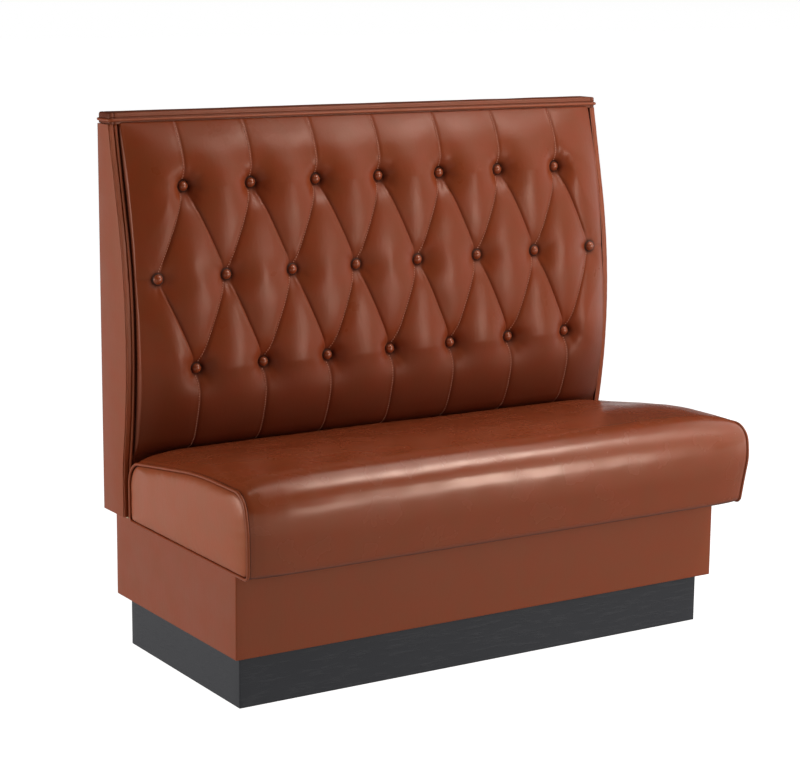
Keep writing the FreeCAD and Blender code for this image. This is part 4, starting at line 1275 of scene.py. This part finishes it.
def cap_vinyl():
    """The upholstered top rail: a padded strip with two seams along its front and gathered corners."""
    tucked = np.linspace(568, CAP_HALF, 9)
    places = np.concatenate([-tucked[::-1], np.linspace(-565, 565, 150), tucked])
    section = [
        (252, BACK_TOP, 0.6), (252, 1068.6, 4.0), (BACK_REAR, 1068.2, 4.0), (BACK_REAR, BACK_TOP, 0.6),
    ]
    line = divided(rounded(section, closed=True, turns=7), 1.1)
    count = len(line)
    centre = np.array([277.0, 1056.5])
    rows = []
    dark = []
    for place in places:
        ring = line.copy()
        on_front = ring[:, 0] < 258
        for seam in RAIL_SEAMS:
            groove = np.exp(-((ring[:, 1] - seam) / 0.9) ** 2) * on_front
            ring[:, 0] += 0.9 * groove
        fold = math.exp(-((abs(place) - 570.6) / 1.1) ** 2)
        ring[:, 0] += 1.3 * fold * on_front
        ring[:, 1] -= 0.7 * fold * (ring[:, 1] > RAIL_CREST)
        # Painted shade: darker in the groove of the lower seam, in the gathered corner folds, and towards
        # both ends.
        shade = np.exp(-((line[:, 1] - RAIL_SEAMS[0]) / 0.9) ** 2) * on_front * 0.5
        shade = np.maximum(shade, fold * (on_front | (line[:, 1] > RAIL_CREST)) * 0.8)
        dark.append(np.maximum(shade, 0.45 * portion((abs(place) - 574) / 5)))
        end = max(0.0, (abs(place) - 568) / 12.5)
        tuck = 1 - (1 - math.sqrt(max(0.0, 1 - end ** 4))) * np.array([0.10, 0.16])
        ring = centre + (ring - centre) * tuck
        spots = at_place(place, ring)
        ring[:, 0] += gentle(spots, 81, 60, 0.22) * on_front
        ring[:, 1] += gentle(spots, 82, 90, 0.2) * (ring[:, 1] > RAIL_CREST)
        rows.append(at_place(place, ring))
    points = np.vstack(rows)
    faces = grid_faces(len(rows), count, closed=True) + end_faces(len(rows), count)
    thing = new_piece("cap_vinyl", points, faces, RAIL_VINYL, sharp=55)
    mark_painted_shade(thing, np.concatenate(dark))
    settle(thing, "booth", "brown_vinyl", "cap_cover")


def cap_piping():
    corners = [(-582.6, 298, 0), (-582.6, 248.95, 7), (582.6, 248.95, 7), (582.6, 298, 0)]
    line = resampled(rounded(corners, turns=12), 420)
    thing = welt_cord("cap_piping", at_height(line, 1054.3), 3.0, False, 91)
    settle(thing, "booth", "brown_vinyl", "cap_welt")


def pale_floor():
    floor_finish = Finish("pale_floor", (0.35, 0.35, 0.35), 0.9, shine=0.1)
    cloudy = floor_finish.blend(floor_finish.noise(2, 2), (0.34, 0.34, 0.34), (0.36, 0.36, 0.36))
    floor_finish.colour(cloudy)
    floor_finish.shader.inputs["Emission Color"].default_value = (1, 1, 1, 1)
    floor_finish.shader.inputs["Emission Strength"].default_value = 1.0
    mesh = bpy.data.meshes.new("floor")
    mesh.from_pydata([(-30, -30, 0), (30, -30, 0), (30, 30, 0), (-30, 30, 0)], [], [(0, 1, 2, 3)])
    mesh.materials.append(floor_finish.material)
    floor = placed("floor", mesh)
    floor.visible_diffuse = False
    floor.visible_glossy = False


def white_walls():
    """Light from all round: dim from above, bright low down where the pale floor would send it back."""
    world = bpy.data.worlds.new("studio")
    world.use_nodes = True
    tree = world.node_tree
    sky = tree.nodes["Background"]
    way = tree.nodes.new("ShaderNodeTexCoord")
    parts = tree.nodes.new("ShaderNodeSeparateXYZ")
    walls = tree.nodes.new("ShaderNodeValToRGB")
    for place, level in (
        (0.28, 0.36), (0.35, 0.56), (0.47, 0.56), (0.476, 1.0), (0.492, 1.0), (0.503, 0.03),
    ):
        stop = walls.color_ramp.elements.new(place)
        stop.color = (level, level, level, 1)
    walls.color_ramp.elements.remove(walls.color_ramp.elements[0])
    walls.color_ramp.elements.remove(walls.color_ramp.elements[-1])
    height = tree.nodes.new("ShaderNodeMapRange")
    height.inputs["From Min"].default_value = -1.0
    tree.links.new(way.outputs["Generated"], parts.inputs["Vector"])
    tree.links.new(parts.outputs["Z"], height.inputs["Value"])
    tree.links.new(height.outputs["Result"], walls.inputs["Fac"])
    tree.links.new(walls.outputs["Color"], sky.inputs["Color"])
    bpy.context.scene.world = world


def bearing(turn, rise):
    """The direction of a place seen at an angle from the front and at an angle above the floor."""
    turn, rise = math.radians(turn), math.radians(rise)
    return Vector((math.sin(turn) * math.cos(rise), -math.cos(turn) * math.cos(rise), math.sin(rise)))


def studio():
    """A pale floor and soft white light, brightest from the front right and from above."""
    pale_floor()
    white_walls()

    def lamp(name, place, way, width, height, glow, turn=0.0):
        """A soft light of one even brightness, facing back along its way."""
        light = bpy.data.lights.new(name, "AREA")
        light.shape = "RECTANGLE"
        light.size = width
        light.size_y = height
        light.energy = glow * math.pi * width * height
        thing = placed(name, light)
        thing.location = place
        thing.rotation_euler = way.to_track_quat("Z", "Y").to_euler()
        thing.rotation_euler.z += math.radians(turn)

    def softbox(name, aim, turn, rise, distance, width, height, glow):
        """A soft light seen from its aim at a bearing and a height."""
        way = bearing(turn, rise)
        lamp(name, Vector(aim) + way * distance, way, width, height, glow)

    lamp("strip_softbox", (0.80, -0.66, 1.70), Vector((0, 0, 1)), 2.6, 0.36, 1.6, -18)
    softbox("high_softbox", (-0.05, -0.28, 0.44), 63, 54, 3.2, 1.3, 0.62, 8.6)
    softbox("over_softbox", (-0.05, -0.28, 0.44), 86, 61, 3.2, 2.2, 0.8, 2.6)
    softbox("side_softbox", (0, 0, 0.6), 78, 18, 3.0, 3.0, 2.9, 1.05)
    softbox("near_softbox", (0, 0, 0.7), 38, 22, 3.0, 1.0, 0.9, 0.9)
    softbox("upright_softbox", (0, 0, 0.62), 32, 6, 3.0, 0.5, 1.1, 12.5)
    softbox("low_softbox", (0, 0, 0.62), 21, -3, 3.0, 0.7, 0.6, 3.6)
    softbox("left_softbox", (-0.5, 0, 0.5), -108, 8, 3.0, 1.8, 1.5, 6.2)
    bpy.context.scene.view_settings.view_transform = "Standard"


def photo_camera():
    """A long lens from the front left, a little above the seat, as the photograph was taken."""
    back = bearing(-32.523, 11.292)
    roll = math.radians(0.538)
    side = Vector((0, 0, 1)).cross(back).normalized()
    up = back.cross(side)
    right = math.cos(roll) * side + math.sin(roll) * up
    top = -math.sin(roll) * side + math.cos(roll) * up
    data = bpy.data.cameras.new("photo_camera")
    data.lens = 97.81
    data.sensor_width = 36
    camera = placed("photo_camera", data)
    place = Vector((0, 0.122, 0.4916)) + 4.4552 * back
    matrix = camera.matrix_world
    for row in range(3):
        matrix[row] = (right[row], top[row], back[row], place[row])
    camera.matrix_world = matrix
    bpy.context.scene.camera = camera


photo_camera()
studio()
finish_cad_nodes()
fold_stitches(tufted_cushion())
covered_buttons()
seat_cushion()
springs()
for side, word in ((-1, "left"), (1, "right")):
    seat_end(side, word)
    seat_piping(side, word)
    back_end(side, word)
    back_piping(side, word)
rear_vinyl()
base_and_plinth()
cap_vinyl()
cap_piping()
